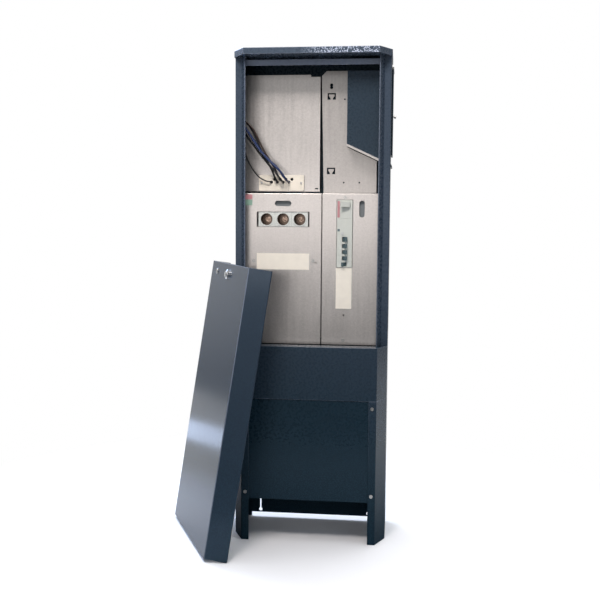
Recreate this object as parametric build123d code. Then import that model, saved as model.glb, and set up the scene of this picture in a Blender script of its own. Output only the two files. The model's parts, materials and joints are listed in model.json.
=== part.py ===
"""Ground-standing electricity meter cabinet, with its lift-off door leaning against the left post."""
import os
from math import cos, radians, sin, tan

from build123d import *

os.makedirs("parts", exist_ok=True)

# Sizes are in millimetres. X runs right, Y runs back from the front face, Z runs up from the ground.

# Shell of folded sheet
CABINET_WIDTH = 442.0
CABINET_DEPTH = 210.0
CABINET_HEIGHT = 1400.0
SHEET = 2.0
FOLD_RADIUS = 3.0            # outside radius of a fold
CORNER_WIDTH = 28.0          # the slanted front corners, across
CORNER_DEPTH = 60.0          # the slanted front corners, front to back
BACK_FLANGE = 25.0
POST_FACE = 19.0             # forward face of a door post
LIP_WIDTH = 12.0             # slanted lip of a door post, across
LIP_REACH = 24.0             # slanted lip of a door post, forwards
LEG_FACE = 21.0

# Roof cap
ROOF_HEIGHT = 17.0
ROOF_OVERHANG = 2.0
ROOF_CORNER_WIDTH = 34.0
ROOF_CORNER_DEPTH = 56.0
SOFFIT_FRONT = 58.0
SOFFIT_EDGE = 30.0

# Top rail behind the posts
RAIL_DROP = 6.0              # below the soffit
RAIL_FACE = 16.0
RAIL_FLANGE = 24.0
RAIL_END_GAP = 1.5

# Front band, with a shelf that the door stands on
BAND_BOTTOM = 417.0
BAND_HEIGHT = 152.0
SHELF_DEPTH = 40.0
SHELF_HEM = 10.0
SILL_DEPTH = 15.0

# Base cover behind the leg faces
BASE_COVER_BOTTOM = 123.0
BASE_COVER_GAP = 1.0
BASE_COVER_EDGE = 6.0        # in from the front corner
BASE_COVER_FLANGE = 12.0
BASE_SCREW_INSET = 11.5      # in from the front corner
BASE_SCREW_DROP = 21.0       # below the band
BASE_SCREW_RISE = 19.5       # above the cover's lower edge

# Lower back plate
BACK_PLATE_BOTTOM = 13.0
BACK_PLATE_TOP = 430.0
BACK_PLATE_SIDE_GAP = 1.0
KEYHOLE_X = 168.0
KEYHOLE_RISE = 8.5           # hole's centre above the plate's lower edge
KEYHOLE_RADIUS = 5.5
KEYHOLE_SLOT_WIDTH = 4.5
KEYHOLE_SLOT_RISE = 34.0

# Galvanised boards of the upper compartment
BOARD_Y = 160.0
BOARD_SHEET = 2.0
BOARD_TOP = 1349.0
BOARD_BOTTOM = 1010.0
BOARD_RIGHT = 13.0
BOARD_SIDE_GAP = 2.0
BOARD_NOTCH_WIDTH = 28.0
BOARD_NOTCH_HEIGHT = 6.0
BOARD_SLOT_INSET = 9.0
BOARD_SLOT_RISE = 8.5
BOARD_SLOT_LENGTH = 10.0
BOARD_SLOT_WIDTH = 4.0
RIGHT_PLATE_TOP = 1359.0
RIGHT_PLATE_BOTTOM = 1003.0
RIGHT_PLATE_TOP_GAP = 4.0    # to the meter board, at the top
RIGHT_PLATE_LOW_GAP = 12.0   # to the meter board, at the bottom
RIGHT_PLATE_RIGHT = 180.0
RIGHT_PLATE_CORNER = 14.0    # cut off its upper left corner
HOOK_X = 46.2
HOOK_TOPS = (1296.0, 1080.0)
HOOK_WIDTH = 24.5
HOOK_HEIGHT = 19.0
HOOK_NECK = 7.0              # the tongue's neck, across
HOOK_NECK_HEIGHT = 4.0
HOOK_HEAD = 16.0             # the tongue's head, across
HOOK_FLARE = 6.0             # height over which the neck widens to the head
HOOK_GAP = 4.0               # above the tongue
PEEP_X = 45.7
PEEP_ZS = (1319.0, 1312.0)
PEEP_RADIUS = 4.6
PLATE_HOLES = ((84.5, 1278.0), (84.0, 1036.5), (130.0, 1036.5))
PLATE_HOLE_RADIUS = 2.6

# Pale cable plate on the meter board, with two staggered rows of holes
CABLE_PLATE_X = -100.0
CABLE_PLATE_Z = 1035.0
CABLE_PLATE_WIDTH = 134.0
CABLE_PLATE_HEIGHT = 46.0
CABLE_PLATE_THICK = 8.0
CABLE_PLATE_CORNER = 3.0
CABLE_HOLE_RADIUS = 4.5
CABLE_HOLE_PITCH = 17.4
CABLE_HOLE_COUNT = 4
CABLE_HOLE_STAGGER = 8.4
CABLE_TOP_ROW_X = -121.4     # first hole of the upper row
CABLE_TOP_ROW_RISE = 10.6    # above the plate's middle
CABLE_ROW_DROP = 8.4
CABLE_SCREW_INSET = 8.0
CABLE_SCREW_HEAD = 3.2
CABLE_WINDOW_MARGIN = 6.0    # of the board's window, around the holes

# Wires, each drawn from its hole: sideways, forwards and upwards from the hole's mouth
WIRE_RADIUS = 2.9
THIN_WIRE_RADIUS = 1.9
WIRE_TAIL = 6.0              # behind the meter board
BLUE_A_BENDS = ((0, 46, 0), (-18, 46, 29), (-43, 46, 50), (-68, 46, 75), (-91, 46, 104), (-108, 46, 132),
                (-123, 46, 154), (-135, 46, 175))
BLUE_B_BENDS = ((0, 40, 0), (-17, 40, 31), (-43, 40, 52), (-67, 40, 77), (-86, 40, 105), (-102, 40, 129),
                (-116, 40, 148), (-127, 40, 169))
BLACK_BENDS = ((0, 22, 0), (-14, 22, 39), (-34, 22, 69), (-50, 22, 101), (-63, 22, 132), (-75, 22, 156),
               (-88, 22, 172), (-101, 22, 183))
BROWN_BENDS = ((0, 28, 0), (-14, 28, 36), (-35, 28, 65), (-51, 28, 94), (-65, 28, 123), (-77, 28, 146),
               (-92, 28, 161), (-109, 28, 171))
DARK_BENDS = ((0, 34, 0), (-17, 34, 28), (-42, 34, 53), (-65, 34, 81), (-84, 34, 107), (-99, 34, 126),
              (-110, 34, 145), (-118, 34, 164))
THIN_BENDS = ((0, 13, 0), (-17, 13, 3), (-38, 13, 15), (-55, 13, 37), (-68, 13, 61),
              (-77, 13, 84), (-84, 13, 110))
BEND_SHARE = 0.45            # of the shorter neighbouring run, taken by a wire's bend

# Niche in the right wall, for an outlet, with a floor that drains outwards
NICHE_LEFT = 95.5
NICHE_FRONT = 100.0
NICHE_TOP = 1350.0
NICHE_FLOOR_LEFT = 1144.5    # floor height at the inner end
NICHE_FALL = 58.0            # of the floor, to the wall
NICHE_LIP = 7.0              # floor ahead of the front wall
NICHE_EDGE = 6.5             # the lip's turned-down edge, below the floor's upper face
NICHE_GAP = 2.0              # to the right plate
WALL_OPENING_MARGIN = 4.0
OUTLET_SIZE = 80.0
OUTLET_DEPTH = 46.0
OUTLET_Z = 1250.0
OUTLET_RECESS_RADIUS = 21.0
OUTLET_RECESS_DEPTH = 18.0
OUTLET_PIN_RADIUS = 2.6
OUTLET_PIN_PITCH = 19.0
OUTLET_PIN_DEPTH = 20.0
OUTLET_CORNER = 6.0

# Outside flap over the niche
FLAP_BOTTOM = 1112.0
FLAP_TOP = 1352.0
FLAP_MARGIN = 5.0            # past the wall opening, front and back
FLAP_SHEET = 1.5
FLAP_RIM = 3.0
FLAP_WALL_GAP = 0.6
HINGE_PIN_RADIUS = 1.5
HINGE_RUNNING = 0.06
HINGE_BARREL_RADIUS = 3.0
HINGE_RISE = 4.5             # pin above the flap's top
HINGE_WALL_GAP = 0.4
HINGE_LEAF = 1.2
HINGE_LEAF_HEIGHT = 13.0
HINGE_END = 18.0             # length of each fixed barrel
HINGE_SIDE_GAP = 0.4
KNOB_Z = 1225.0
KNOB_RADIUS = 5.0
KNOB_LENGTH = 5.0
KNOB_STEM_RADIUS = 2.5
KNOB_STEM = 3.0
DRIP_TOP = 1090.0
DRIP_BOTTOM = 1079.0
DRIP_REACH = 4.0
DRIP_EDGE = 3.0

# Galvanised covers of the lower compartment
COVER_Y = 75.0
COVER_SHEET = 2.0
COVER_TOP = 1003.0
COVER_BOTTOM = 567.0
COVER_SPLIT = 27.75          # middle of the gap between the two covers
COVER_SPLIT_GAP = 3.2
COVER_SIDE_GAP = 3.0         # to the side walls
COVER_FLANGE = 60.0
COVER_FOLD = 3.0             # outside radius of the fold at the top
COVER_SCREWS = ((-170.0, 808.0), (3.0, 809.0), (94.5, 990.7), (92.0, 580.0))
COVER_PEEPS = ((11.0, 803.5), (93.0, 653.0))
COVER_PEEP_RADIUS = 2.4
SPACER_RADIUS = 4.0
LEFT_SLOT_X = -84.5
LEFT_SLOT_Z = 973.5
RIGHT_SLOT_X = 142.5
RIGHT_SLOT_Z = 958.5
COVER_SLOT_LENGTH = 48.0
COVER_SLOT_WIDTH = 15.5
LABEL_THICK = 1.0
LEFT_LABEL_X = -84.5
LEFT_LABEL_Z = 806.5
LEFT_LABEL_WIDTH = 153.0
LEFT_LABEL_HEIGHT = 47.0
RIGHT_LABEL_X = 92.3
RIGHT_LABEL_Z = 731.0
RIGHT_LABEL_WIDTH = 45.5
RIGHT_LABEL_HEIGHT = 118.0

# Fuse bases
FUSE_X = -84.5               # middle base
FUSE_Z = 928.0
FUSE_COUNT = 3
FUSE_PITCH = 48.0
FUSE_GAP = 0.4
FUSE_HEIGHT = 64.0
FUSE_SETBACK = 3.0           # front face behind the cover's front
FUSE_NOSE_DEPTH = 12.0
FUSE_NOSE_GAP = 1.2          # to the window, above and below
FUSE_COLLAR = 2.5
FUSE_COLLAR_RADIUS = 20.0
FUSE_WINDOW_MARGIN = 4.5     # beyond the row of bases
FUSE_WINDOW_HEIGHT = 44.0
SHELL_RADIUS = 16.5          # inside the screw shell
SHELL_WALL = 0.8
SHELL_LENGTH = 34.0
SHELL_INSET = 2.0
CONTACT_RADIUS = 8.0
CONTACT_HEIGHT = 5.0

# Equipment plate and the device row on its upright rail
EQUIP_Y = 150.0
EQUIP_SIDE_GAP = 14.0
EQUIP_BOTTOM = 575.0
EQUIP_TOP = 1000.0
MODULE = 17.5
MODULE_GAP = 0.3
ROW_X = 93.5
ROW_TOP = 984.0
MAIN_MODULES = 3
RCD_MODULES = 4
BREAKER_MODULES = 1
BREAKERS = 4
ROW_WINDOW_GAP = 1.2         # around the noses
DEVICE_LENGTH = 86.0
NOSE_WIDTH = 45.0
NOSE_PROUD = 3.0             # ahead of the cover's front
NOSE_DEPTH = 20.0
NOSE_CHAMFER = 1.2
HAT_WIDTH = 35.0
HAT_WEB = 25.0
HAT_DEPTH = 7.5
HAT_SHEET = 1.0
HAT_END = 2.0
HAT_PLAY = 0.5
FOOT_DEPTH = 3.5             # of a device's feet, past the rail's brim

# Toggles
TOGGLE_TILT = 22.0
TOGGLE_HUB = 5.5
TOGGLE_SET = 7.0             # pivot behind the nose
TOGGLE_REACH = 17.0          # from the pivot to the tip
TOGGLE_ROOT = 8.0
TOGGLE_TIP = 5.0
TOGGLE_TIP_RADIUS = 1.5
TOGGLE_SIDE_GAP = 0.4
TOGGLE_SLOT_HALF = 7.0
TOGGLE_SLOT_FLOOR = 0.6      # behind the hub
TRUNNION_RADIUS = 1.5
TRUNNION_LENGTH = 1.8
TRUNNION_RUNNING = 0.06
TRUNNION_END_GAP = 0.3
MAIN_TOGGLE_SHIFT = -5.0
MAIN_TOGGLE_DROP = 12.5      # below the row's top
MAIN_TOGGLE_WIDTH = 15.0
MAIN_HANDLE_WIDTH = 28.0     # flat handle across the main toggle's tip
MAIN_HANDLE_THICK = 4.0
MAIN_HANDLE_ROOT = 1.0       # of the lever, let into the handle
MAIN_HANDLE_CORNER = 1.2
RCD_TOGGLE_RISE = 10.5       # above the device's lower end
RCD_TOGGLE_WIDTH = 14.5
BREAKER_TOGGLE_WIDTH = 12.0
TEST_SHIFT = -6.0
TEST_RISE = 27.5
TEST_RADIUS = 4.5
TEST_PROUD = 2.0
TEST_LENGTH = 9.0
TEST_RUNNING = 0.06
TEST_TRAVEL_ROOM = 3.5
FLAG_SHIFT = -17.0
FLAG_RISE = 36.5
FLAG_SIZE = 7.0
FLAG_DEPTH = 1.5
FLAG_SETBACK = 0.4           # of the flag's face behind the nose
FLAG_CLEARANCE = 0.1

# Blocks behind the covers
NEUTRAL_X = -84.5
NEUTRAL_Z = 979.5
NEUTRAL_LENGTH = 72.0
NEUTRAL_HEIGHT = 32.0
NEUTRAL_SCREW_RISE = 11.0    # of the screw row above the block's middle
EARTH_X = 154.0
EARTH_Z = 955.0
EARTH_LENGTH = 70.0
EARTH_WIDTH = 16.0
EARTH_FACE_WIDTH = 30.0      # plate on its front, to the left
EARTH_FACE_DEPTH = 7.0
BLOCK_SETBACK = 9.0          # behind the covers' front
BLOCK_PITCH = 12.0
BLOCK_SCREW_RADIUS = 3.0
BLOCK_SCREW_DEPTH = 12.0
TERMINAL_X = -85.0
TERMINAL_Z = 680.0
TERMINAL_COUNT = 4
TERMINAL_PITCH = 32.0
TERMINAL_HEIGHT = 78.0
TERMINAL_DEPTH = 40.0
TERMINAL_SLOT = 24.0
TERMINAL_SLOT_DEPTH = 22.0
BOLT_RADIUS = 6.0
BOLT_LENGTH = 14.0

# Screws
SCREW_HEAD = 5.0
SCREW_HEAD_HEIGHT = 2.6
SCREW_RADIUS = 2.4
SCREW_CLEARANCE = 0.3
SCREW_LENGTH = 10.0
SCREW_SLOT = 1.2
SCREW_SLOT_DEPTH = 1.2

# Door
DOOR_HEIGHT = 800.0
DOOR_TOP_FLANGE = 20.0
DOOR_RETURN = 11.0
DOOR_EDGE_RADIUS = 1.5       # along the top, outside
DOOR_TURN = -64.0            # degrees about the upright
DOOR_LEAN = 9.1              # degrees
DOOR_SLIDE = -142.0          # along the door's own width
DOOR_TOUCH = 0.05            # left between the door and the post
LOCK_DROP = 31.0             # below the door's top
LOCK_RING_RADIUS = 14.0
LOCK_RING_HEIGHT = 7.0
LOCK_RING_CHAMFER = 2.0
LOCK_BODY_RADIUS = 11.0
LOCK_BODY_LENGTH = 12.0      # behind the door's front face
LOCK_HOLE_CLEARANCE = 0.3
LOCK_CORE_RADIUS = 8.0
LOCK_RUNNING = 0.06
LOCK_CORE_PROUD = 3.0
LOCK_KEYWAY = 2.0
LOCK_KEYWAY_LENGTH = 9.0
LOCK_KEYWAY_DEPTH = 6.0
LOCK_NUT_RADIUS = 15.0
LOCK_NUT_HEIGHT = 5.0
LOCK_NUT_SIDES = 6
CAM_GAP = 0.6
CAM_THICK = 2.5
CAM_WIDTH = 14.0
CAM_LENGTH = 44.0
CAM_SLOT_CLEARANCE = 1.5
PLUG_SHIFT = -126.0
PLUG_DROP = 28.5
PLUG_RADIUS = 9.0
PLUG_HEIGHT = 3.0
PLUG_STEM_RADIUS = 6.0
PLUG_STEM = 6.0

OVERRUN = 5.0                # of every cut past its faces
QUARTER = 90.0               # degrees

# Places that follow from the sizes
HALF = CABINET_WIDTH / 2
FRONT_HALF = HALF - CORNER_WIDTH
INNER_HALF = HALF - SHEET
SHELL_TOP = CABINET_HEIGHT - ROOF_HEIGHT
BAND_TOP = BAND_BOTTOM + BAND_HEIGHT
BACK_Y = CABINET_DEPTH - 2 * SHEET
COVER_BACK = COVER_Y + COVER_SHEET
NOSE_Y = COVER_Y - NOSE_PROUD
PIVOT_Y = NOSE_Y + TOGGLE_SET
HAT_Y = EQUIP_Y - HAT_DEPTH
FUSE_Y = COVER_Y + FUSE_SETBACK
BLOCK_Y = COVER_Y + BLOCK_SETBACK
CABLE_FRONT = BOARD_Y - CABLE_PLATE_THICK
RCD_TOP = ROW_TOP - MAIN_MODULES * MODULE
BREAKER_TOP = RCD_TOP - RCD_MODULES * MODULE
ROW_BOTTOM = BREAKER_TOP - BREAKERS * BREAKER_MODULES * MODULE
FLAP_X = HALF + FLAP_WALL_GAP
FLAP_FACE = FLAP_X + FLAP_RIM
OPENING_FRONT = NICHE_FRONT + SHEET + WALL_OPENING_MARGIN
OPENING_BACK = BACK_Y - WALL_OPENING_MARGIN
OPENING_BOTTOM = NICHE_FLOOR_LEFT - NICHE_FALL + SHEET + WALL_OPENING_MARGIN
OPENING_TOP = NICHE_TOP - SHEET - WALL_OPENING_MARGIN
FLAP_FRONT = OPENING_FRONT - FLAP_MARGIN
FLAP_BACK = OPENING_BACK + FLAP_MARGIN
HINGE_X = HALF + HINGE_BARREL_RADIUS + HINGE_WALL_GAP
HINGE_Z = FLAP_TOP + HINGE_RISE
CAM_Y = LOCK_BODY_LENGTH + CAM_GAP
LOCK_Z = DOOR_HEIGHT - LOCK_DROP


def box(x0, x1, y0, y1, z0, z1):
    """Block between two corners."""
    return Pos((x0 + x1) / 2, (y0 + y1) / 2, (z0 + z1) / 2) * Box(x1 - x0, y1 - y0, z1 - z0)


def rod_x(x0, x1, y, z, radius):
    """Round bar along X."""
    return Pos((x0 + x1) / 2, y, z) * Rot(0, QUARTER, 0) * Cylinder(radius, x1 - x0)


def rod_y(x, y0, y1, z, radius):
    """Round bar along Y."""
    return Pos(x, (y0 + y1) / 2, z) * Rot(QUARTER, 0, 0) * Cylinder(radius, y1 - y0)


def rod_z(x, y, z0, z1, radius):
    """Round bar along Z."""
    return Pos(x, y, (z0 + z1) / 2) * Cylinder(radius, z1 - z0)


def prism(points, z0, z1):
    """Upright prism over an outline of X and Y points."""
    face = make_face(Polyline(*[(x, y, z0) for x, y in points], close=True))
    return extrude(face, z1 - z0, dir=(0, 0, 1))


def panel(points, y0, y1):
    """Plate over an outline of X and Z points, between two depths."""
    face = make_face(Polyline(*[(x, y0, z) for x, z in points], close=True))
    return extrude(face, y1 - y0, dir=(0, 1, 0))


def folded(points, z0, z1):
    """Upright folded sheet: the points run along its outer face, with the sheet on their right."""
    line = FilletPolyline(*points, radius=FOLD_RADIUS)
    face = make_face(offset(line, amount=SHEET, side=Side.RIGHT))
    return Pos(0, 0, z0) * extrude(face, z1 - z0, dir=(0, 0, 1))


def shelf(depth, z0, z1):
    """Plate between the slanted corners of a folded front, from the front sheet back to a depth."""
    front = FRONT_HALF - SHEET
    rear = front + CORNER_WIDTH * depth / CORNER_DEPTH
    return prism([(-front, SHEET / 2), (front, SHEET / 2), (rear, depth), (-rear, depth)], z0, z1)


def long_hole(x, z, length, width, y0, y1, upright=False):
    """Slot with round ends, along X or upright, cut through in Y."""
    reach = (length - width) / 2
    if upright:
        ends = [(x, z - reach), (x, z + reach)]
        middle = box(x - width / 2, x + width / 2, y0, y1, z - reach, z + reach)
    else:
        ends = [(x - reach, z), (x + reach, z)]
        middle = box(x - reach, x + reach, y0, y1, z - width / 2, z + width / 2)
    return middle + [rod_y(a, y0, y1, b, width / 2) for a, b in ends]


def screw(x, y, z, radius=SCREW_HEAD):
    """Slotted pan-head screw driven in +Y, with its head on the face at y."""
    head = rod_y(x, y - SCREW_HEAD_HEIGHT, y, z, radius)
    shank = rod_y(x, y, y + SCREW_LENGTH, z, SCREW_RADIUS)
    face = y - SCREW_HEAD_HEIGHT
    slot = box(x - radius, x + radius, face - OVERRUN, face + SCREW_SLOT_DEPTH,
               z - SCREW_SLOT / 2, z + SCREW_SLOT / 2)
    return head + shank - slot


def screw_hole(x, y0, y1, z):
    """Clearance hole for a screw."""
    return rod_y(x, y0 - OVERRUN, y1 + OVERRUN, z, SCREW_RADIUS + SCREW_CLEARANCE)


def niche_floor(x):
    """Height of the niche floor's upper face."""
    return NICHE_FLOOR_LEFT - NICHE_FALL * (x - NICHE_LEFT) / (HALF - NICHE_LEFT)


def base_screw_places():
    """Places of the base cover's four screws, in X and Z."""
    x = FRONT_HALF - BASE_SCREW_INSET
    heights = (BAND_BOTTOM - BASE_SCREW_DROP, BASE_COVER_BOTTOM + BASE_SCREW_RISE)
    return [(side * x, z) for side in (-1, 1) for z in heights]


def side_sheet():
    """Right side: wall and back flange, with a door post above the band and a slanted leg below it."""
    wall = [(HALF - BACK_FLANGE, CABINET_DEPTH), (HALF, CABINET_DEPTH), (HALF, CORNER_DEPTH)]
    face = wall + [(HALF - POST_FACE, CORNER_DEPTH)]
    post = face + [(HALF - POST_FACE - LIP_WIDTH, CORNER_DEPTH - LIP_REACH)]
    leg = wall + [(FRONT_HALF, 0), (FRONT_HALF - LEG_FACE, 0)]
    sheet = folded(leg, 0, BAND_BOTTOM) + folded(face, BAND_BOTTOM, BAND_TOP)
    sheet += folded(post, BAND_TOP, SHELL_TOP)
    for x, z in base_screw_places():
        sheet -= screw_hole(x, 0, SHEET, z)
    return sheet


def left_side():
    """Left side, the mirror image of the right one."""
    return mirror(side_sheet(), about=Plane.YZ)


def right_side():
    """Right side, with the niche's opening in its wall."""
    return side_sheet() - box(INNER_HALF - OVERRUN, HALF + OVERRUN, OPENING_FRONT, OPENING_BACK,
                              OPENING_BOTTOM, OPENING_TOP)


def back_panel():
    """Flat back above the lower plate, against the side sheets' back flanges."""
    x = INNER_HALF - BACK_PLATE_SIDE_GAP
    return box(-x, x, BACK_Y, BACK_Y + SHEET, BACK_PLATE_TOP, SHELL_TOP)


def lower_back_plate():
    """Lower back with two keyholes for hanging it on the ground frame's screws."""
    x = INNER_HALF - BACK_PLATE_SIDE_GAP
    plate = box(-x, x, BACK_Y, BACK_Y + SHEET, BACK_PLATE_BOTTOM, BACK_PLATE_TOP)
    z = BACK_PLATE_BOTTOM + KEYHOLE_RISE
    for side in (-1, 1):
        plate -= rod_y(side * KEYHOLE_X, BACK_Y - OVERRUN, BACK_Y + SHEET + OVERRUN, z, KEYHOLE_RADIUS)
        middle = side * KEYHOLE_X
        plate -= box(middle - KEYHOLE_SLOT_WIDTH / 2, middle + KEYHOLE_SLOT_WIDTH / 2,
                     BACK_Y - OVERRUN, BACK_Y + SHEET + OVERRUN, z, z + KEYHOLE_SLOT_RISE)
    return plate


def cam_slot(y0, z0, z1):
    """Cut for the door's cam as it swings up, with its path from the side."""
    x0 = -CAM_WIDTH / 2 - CAM_SLOT_CLEARANCE
    return box(x0, CAM_LENGTH, y0 - CAM_SLOT_CLEARANCE, y0 + CAM_THICK + CAM_SLOT_CLEARANCE,
               z0 - OVERRUN, z1 + OVERRUN)


def roof_cap():
    """Folded cap with slanted front corners and a soffit that rests on the posts and the back."""
    side = HALF + ROOF_OVERHANG
    front = side - ROOF_CORNER_WIDTH
    back = CABINET_DEPTH + ROOF_OVERHANG
    outline = [(-front, 0), (front, 0), (side, ROOF_CORNER_DEPTH), (side, back),
               (-side, back), (-side, ROOF_CORNER_DEPTH)]
    inner = offset(make_face(Polyline(*outline, close=True)), amount=-SHEET, kind=Kind.INTERSECTION)
    hollow = Pos(0, 0, SHELL_TOP + SHEET) * extrude(inner, ROOF_HEIGHT - 2 * SHEET, dir=(0, 0, 1))
    edge = HALF - SOFFIT_EDGE
    mouth = box(-edge, edge, SOFFIT_FRONT, CABINET_DEPTH - SOFFIT_EDGE,
                SHELL_TOP - OVERRUN, SHELL_TOP + SHEET + OVERRUN)
    cut = cam_slot(CAM_Y, SHELL_TOP + OVERRUN, SHELL_TOP + SHEET - OVERRUN)
    return prism(outline, SHELL_TOP, CABINET_HEIGHT) - hollow - mouth - cut


def top_rail():
    """Angle between the posts, behind their faces, that closes the top of the door opening."""
    top = SHELL_TOP - RAIL_DROP
    x = INNER_HALF - RAIL_END_GAP
    y0 = CORNER_DEPTH + SHEET
    face = box(-x, x, y0, y0 + SHEET, top - RAIL_FACE, top)
    return face + box(-x, x, y0, y0 + RAIL_FLANGE, top - SHEET, top)


def front_band():
    """Fixed band with slanted corners, a hemmed shelf at the top and a sill at the bottom."""
    line = [(HALF, CORNER_DEPTH), (FRONT_HALF, 0), (-FRONT_HALF, 0), (-HALF, CORNER_DEPTH)]
    band = folded(line, BAND_BOTTOM, BAND_TOP)
    band -= box(-HALF - OVERRUN, HALF + OVERRUN, CORNER_DEPTH, CORNER_DEPTH + OVERRUN,
                BAND_BOTTOM - OVERRUN, BAND_TOP + OVERRUN)
    band += shelf(SHELF_DEPTH, BAND_TOP - SHEET, BAND_TOP)
    band += shelf(SILL_DEPTH, BAND_BOTTOM, BAND_BOTTOM + SHEET)
    hem = FRONT_HALF - SHEET
    band += box(-hem, hem, SHELF_DEPTH - SHEET, SHELF_DEPTH, BAND_TOP - SHELF_HEM, BAND_TOP)
    return band


def base_cover():
    """Tray-shaped cover behind the leg faces, with holes for its screws."""
    x = FRONT_HALF - BASE_COVER_EDGE
    top = BAND_BOTTOM - BASE_COVER_GAP
    rear = SHEET + BASE_COVER_FLANGE
    cover = box(-x, x, SHEET, rear, BASE_COVER_BOTTOM, top)
    cover -= box(-x + SHEET, x - SHEET, 2 * SHEET, rear + OVERRUN, BASE_COVER_BOTTOM + SHEET, top - SHEET)
    for sx, sz in base_screw_places():
        cover -= screw_hole(sx, SHEET, 2 * SHEET, sz)
    return cover


def base_cover_screws():
    """Four screws through the leg faces into the cover."""
    return [screw(x, 0, z) for x, z in base_screw_places()]


def cable_holes():
    """Centres of the two rows of cable holes, in X and Z, upper row first."""
    top = CABLE_PLATE_Z + CABLE_TOP_ROW_RISE
    upper = [(CABLE_TOP_ROW_X + i * CABLE_HOLE_PITCH, top) for i in range(CABLE_HOLE_COUNT)]
    return upper + [(x - CABLE_HOLE_STAGGER, z - CABLE_ROW_DROP) for x, z in upper]


def cable_screw_places():
    """Places of the cable plate's two screws."""
    x = CABLE_PLATE_WIDTH / 2 - CABLE_SCREW_INSET
    return [(CABLE_PLATE_X + side * x, CABLE_PLATE_Z) for side in (-1, 1)]


def meter_board():
    """Galvanised board with side flanges that stand on the back, and a window behind the cable plate."""
    left = -INNER_HALF + BOARD_SIDE_GAP
    rear = BOARD_Y + BOARD_SHEET
    board = box(left, BOARD_RIGHT, BOARD_Y, rear, BOARD_BOTTOM, BOARD_TOP)
    board += box(left, left + BOARD_SHEET, BOARD_Y, BACK_Y, BOARD_BOTTOM, BOARD_TOP)
    board += box(BOARD_RIGHT - BOARD_SHEET, BOARD_RIGHT, BOARD_Y, BACK_Y,
                 BOARD_BOTTOM, BOARD_TOP - BOARD_NOTCH_HEIGHT)
    board -= box(BOARD_RIGHT - BOARD_NOTCH_WIDTH, BOARD_RIGHT + OVERRUN, BOARD_Y - OVERRUN, rear + OVERRUN,
                 BOARD_TOP - BOARD_NOTCH_HEIGHT, BOARD_TOP + OVERRUN)
    board -= long_hole(BOARD_RIGHT - BOARD_SLOT_INSET, BOARD_BOTTOM + BOARD_SLOT_RISE, BOARD_SLOT_LENGTH,
                       BOARD_SLOT_WIDTH, BOARD_Y - OVERRUN, rear + OVERRUN)
    xs = [x for x, z in cable_holes()]
    zs = [z for x, z in cable_holes()]
    margin = CABLE_WINDOW_MARGIN
    board -= box(min(xs) - margin, max(xs) + margin, BOARD_Y - OVERRUN, rear + OVERRUN,
                 min(zs) - margin, max(zs) + margin)
    for x, z in cable_screw_places():
        board -= screw_hole(x, BOARD_Y, rear, z)
    return board


def cable_plate():
    """Insulating plate with rounded corners and staggered cable holes."""
    blank = box(CABLE_PLATE_X - CABLE_PLATE_WIDTH / 2, CABLE_PLATE_X + CABLE_PLATE_WIDTH / 2,
                CABLE_FRONT, BOARD_Y,
                CABLE_PLATE_Z - CABLE_PLATE_HEIGHT / 2, CABLE_PLATE_Z + CABLE_PLATE_HEIGHT / 2)
    plate = fillet(blank.edges().filter_by(Axis.Y), CABLE_PLATE_CORNER)
    for x, z in cable_holes():
        plate -= rod_y(x, CABLE_FRONT - OVERRUN, BOARD_Y + OVERRUN, z, CABLE_HOLE_RADIUS)
    for x, z in cable_screw_places():
        plate -= screw_hole(x, CABLE_FRONT, BOARD_Y, z)
    return plate


def cable_plate_screws():
    """Two screws through the cable plate into the board."""
    return [screw(x, CABLE_FRONT, z, CABLE_SCREW_HEAD) for x, z in cable_screw_places()]


def wire_list():
    """Name, hole, radius and bends of each wire."""
    holes = cable_holes()
    return [
        ("wire_blue_1", holes[7], WIRE_RADIUS, BLUE_A_BENDS),
        ("wire_blue_2", holes[2], WIRE_RADIUS, BLUE_B_BENDS),
        ("wire_black_1", holes[5], WIRE_RADIUS, BLACK_BENDS),
        ("wire_brown", holes[1], WIRE_RADIUS, BROWN_BENDS),
        ("wire_black_2", holes[6], WIRE_RADIUS, DARK_BENDS),
        ("wire_thin", holes[4], THIN_WIRE_RADIUS, THIN_BENDS),
    ]


def wire_points(hole, bends):
    """Corners of a wire's path, from its tail behind the board to its free end."""
    x, z = hole
    tail = [(x, BOARD_Y + BOARD_SHEET + WIRE_TAIL, z)]
    return tail + [(x + dx, CABLE_FRONT - dy, z + dz) for dx, dy, dz in bends]


def bend_radii(points):
    """Radius of each bend, from the runs beside it."""
    radii = []
    for a, b, c in zip(points, points[1:], points[2:]):
        into = Vector(*b) - Vector(*a)
        away = Vector(*c) - Vector(*b)
        turn = radians(into.get_angle(away))
        radii.append(BEND_SHARE * min(into.length, away.length) / tan(turn / 2))
    return radii


def wire(hole, radius, bends):
    """Round wire along straight runs and tangent bends."""
    points = wire_points(hole, bends)
    path = FilletPolyline(*points, radius=bend_radii(points))
    start = Plane(origin=points[0], z_dir=path % 0)
    return sweep(start * Circle(radius), path=path)


def cable_bushes():
    """Rubber bushes that hold the wires in their holes."""
    bushes = []
    for name, (x, z), radius, bends in wire_list():
        bush = rod_y(x, CABLE_FRONT, BOARD_Y, z, CABLE_HOLE_RADIUS)
        bushes.append(bush - rod_y(x, CABLE_FRONT - OVERRUN, BOARD_Y + OVERRUN, z, radius))
    return bushes


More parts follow.
